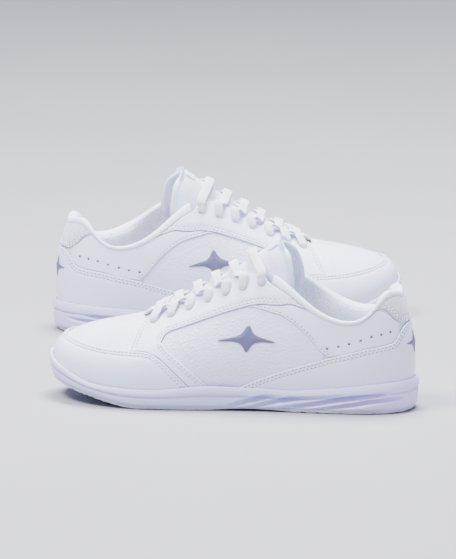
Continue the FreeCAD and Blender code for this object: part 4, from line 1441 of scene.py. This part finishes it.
def add_piece(name, solid, materials, slot, body=None, replaces=(), bends=None, sharp=45,
              face_material=None):
    """Both shoes' copies of a piece; body is the part of the body's name after the side, or None for a piece
    given bends, which is attached to no body and keeps its placement baked into the mesh.
    """
    points, faces = solid
    for word, flip, turn, shift in SIDES:
        mesh = bpy.data.meshes.new(word + "_" + name)
        spots = to_world(points, flip, turn, shift)
        turned = [tuple(f)[::-1] for f in faces] if flip < 0 else faces
        mesh.from_pydata(spots.tolist(), [], [tuple(f) for f in turned])
        for material in materials:
            mesh.materials.append(material)
        if face_material is not None:
            mesh.polygons.foreach_set("material_index", face_material)
        mesh.shade_smooth()
        mesh.set_sharp_from_angle(angle=math.radians(sharp))
        mesh.validate()
        piece = bpy.data.objects.new(word + "_" + name, mesh)
        bpy.context.scene.collection.objects.link(piece)
        if bends:
            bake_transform(piece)
        else:
            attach(piece, word + "_" + body)
        if replaces:
            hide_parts(*[word + "_" + node for node in replaces])


def build():
    """Every piece of both shoes."""
    paint = make_materials()
    thread = []
    # dark strips under the stitches: painted shadow
    seam_shadow = []

    def sewn(name, made, slot, replaces):
        solid, rows, lines = made
        # the quad faces are the pieces' walls: their cut edge material is a raw edge tone darkened as painted
        # shade
        cut = [1 if len(face) == 4 else 0 for face in solid[1]]
        add_piece(name, solid, [paint[slot], paint["cut_edge_and_shade"]], slot, "shoe", replaces, face_material=cut)
        thread.append(rows)
        seam_shadow.append(lines)

    add_piece("outsole_tread", outsole_piece(), [paint["outsole_rubber"]], "outsole_rubber", "shoe",
              ("outsole",), sharp=60)
    add_piece("midsole_wall", midsole_piece(), [paint["midsole_foam"]], "midsole_foam", "shoe",
              ("midsole", "midsole_core"), sharp=70)
    add_piece("vamp_leather", vamp_piece(), [paint["leather_white"]], "leather_white", "shoe", ("vamp",))
    sewn("mudguard_leather", toe_or_heel_piece(GUARD_TOP, 0.2), "leather_white", ("mudguard",))
    sewn("foxing_leather", toe_or_heel_piece(FOXING_TOP, 0.7), "leather_white", ("heel_foxing",))
    sewn("tab_suede", tab_piece(), "tab_suede", ("heel_tab",))
    add_piece("heel_star", star_piece(*HEEL_STAR), [paint["emblem"]], "emblem",
              "shoe", ("heel_emblem",), sharp=30)
    for word, side in (("lateral", 1), ("medial", -1)):
        add_piece("window_" + word, side_panel_piece(side), [paint["soft_leather"]], "soft_leather", "shoe",
                  ("side_panel_" + word,))
        sewn("quarter_" + word, rear_quarter_piece(side), "leather_white", ("rear_quarter_" + word,))
        sewn("stay_" + word, eyestay_piece(side), "leather_white", ("eyestay_" + word,))
        add_piece("side_star_" + word, star_piece(*SIDE_STAR, side),
                  [paint["emblem"]], "emblem", "shoe", ("side_emblem_" + word,), sharp=30)
        # painted shade: a dark disc in each vent hole
        add_piece("vent_shade_disc_" + word, vent_shade_disc_piece(side), [paint["vent"]], "lining_mesh", "shoe")
    add_piece("collar_tape", binding_piece(), [paint["binding"]], "binding", "shoe", ("collar_binding",))
    add_piece("collar_padding", padding_piece(), [paint["lining_mesh"]], "lining_mesh", "shoe",
              ("collar_pad",))
    add_piece("lining_cloth", lining_piece(), [paint["lining_mesh"]], "lining_mesh", "shoe", ("lining",))
    add_piece("insole_cloth", insole_piece(), [paint["insole_cloth"]], "insole_cloth", "insole", ("insole",))
    solid, cloth = tongue_piece()
    low = tongue_point(TONGUE_SPLIT - 0.2, 0, 0)[0]
    high = tongue_point(TONGUE_SPLIT + 0.3, 0, 0)[0]
    bend = (("shoe", "tongue_top"), (low, high))
    add_piece("tongue_leather", solid, [paint["leather_white"], paint["lining_mesh"]], "leather_white",
              replaces=("tongue", "tongue_top"), bends=bend, face_material=cloth, sharp=60)
    add_piece("tongue_tape", tongue_binding_piece(), [paint["tongue_tape"]], "binding", bends=bend, sharp=80)
    add_piece("tongue_stitching", tongue_stitch_piece(), [paint["thread"]], "lace_cloth", bends=bend)
    add_piece("blank_label", label_piece(), [paint["label"]], "label", "tongue_top", ("tongue_label",))
    add_piece("keeper_loop", keeper_piece(), [paint["leather_white"]], "leather_white", "shoe",
              ("lace_keeper",))
    add_piece("lace_strands", lace_piece(), [paint["lace_cloth"]], "lace_cloth", "shoe", ("lace",), sharp=80)
    add_piece("stitching", joined(*thread), [paint["thread"]], "lace_cloth", "shoe", sharp=80)
    # painted shadow: dark strips along every row of stitches
    add_piece("painted_seam_shadows", joined(*seam_shadow), [paint["seam_shadow"]], "leather_white", "shoe", sharp=80)

    kept = (("lasting_board", "board"), ("toe_stiffener", "board"),
            ("heel_stiffener", "board"), ("back_panel", "leather_white"), ("aglets", "aglet"))
    for word, *_ in SIDES:
        for node, slot in kept:
            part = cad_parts[word + "_" + node]
            for material_slot in part.material_slots:
                material_slot.material = paint[slot]


# ==== the studio ==================================================================================
FLOOR_SIZE = 6.0
FLOOR_GAP = 0.0003               # the floor is this much under the soles, so that no faces coincide
SKY = ((0.56, 0.56, 1.0, 1), 0.55)
# name, place, aim, size, power in watts, colour
LIGHTS = (("key", (-0.9, -0.75, 1.9), (0, 0, 0.03), (0.8, 0.8), 108.0, (1.0, 0.995, 0.99)),
          ("top", (0.1, 0.35, 1.9), (0, 0, 0.03), (1.0, 1.0), 170.0, (1.0, 1.0, 1.0)),
          ("fill", (1.6, -1.4, 1.0), (0, 0, 0.05), (1.2, 0.8), 22.0, (0.84, 0.85, 1.0)))
ELEVATION = 10.0                 # the camera's height angle, degrees
DISTANCE = 5.0
AIM = (-0.0018, 0.0, 0.0565)
SENSOR = 36.0
VIEW_WIDE = 0.3216               # width of the view at the aim, metres


def add_light(name, spot, aim, size, power, colour):
    """A soft rectangular light."""
    light = bpy.data.lights.new(name, "AREA")
    light.shape = "RECTANGLE"
    light.size, light.size_y = size
    light.energy = power
    light.color = colour
    lamp = bpy.data.objects.new(name, light)
    lamp.location = spot
    lamp.rotation_euler = (Vector(aim) - Vector(spot)).to_track_quat("-Z", "Y").to_euler()
    bpy.context.scene.collection.objects.link(lamp)


def add_studio():
    """The floor, the sky and the lights."""
    mesh = bpy.data.meshes.new("studio_floor")
    half = FLOOR_SIZE / 2
    mesh.from_pydata([(-half, -half, 0), (half, -half, 0), (half, half, 0), (-half, half, 0)], [],
                     [(0, 1, 2, 3)])
    n = Nodes("floor_paper")
    cloud = n.noise(3.0, 2.0)
    mesh.materials.append(n.finish(n.ramp(cloud, ((0.3, (0.31, 0.31, 0.335)), (0.7, (0.33, 0.33, 0.355)))),
                                   n.spread(cloud, 0.3, 0.7, 0.7, 0.8)))
    floor = bpy.data.objects.new("studio_floor", mesh)
    floor.location.z = cad_box[0][2] - FLOOR_GAP
    bpy.context.scene.collection.objects.link(floor)
    world = bpy.data.worlds.new("studio")
    world.use_nodes = True
    background = world.node_tree.nodes["Background"]
    colour, strength = SKY
    background.inputs["Color"].default_value = colour
    background.inputs["Strength"].default_value = strength
    bpy.context.scene.world = world
    for light in LIGHTS:
        add_light(*light)


def add_camera():
    """A long lens from in front and a little above."""
    elevation = math.radians(ELEVATION)
    aim = Vector(AIM)
    camera = bpy.data.cameras.new("camera")
    camera.sensor_fit = "HORIZONTAL"
    camera.sensor_width = SENSOR
    camera.lens = SENSOR * DISTANCE / VIEW_WIDE
    camera.clip_end = 50.0
    holder = bpy.data.objects.new("camera", camera)
    holder.location = aim + Vector((0, -math.cos(elevation), math.sin(elevation))) * DISTANCE
    holder.rotation_euler = (math.radians(90) - elevation, 0, 0)
    bpy.context.scene.collection.objects.link(holder)
    bpy.context.scene.camera = holder


add_camera()
add_studio()
build()
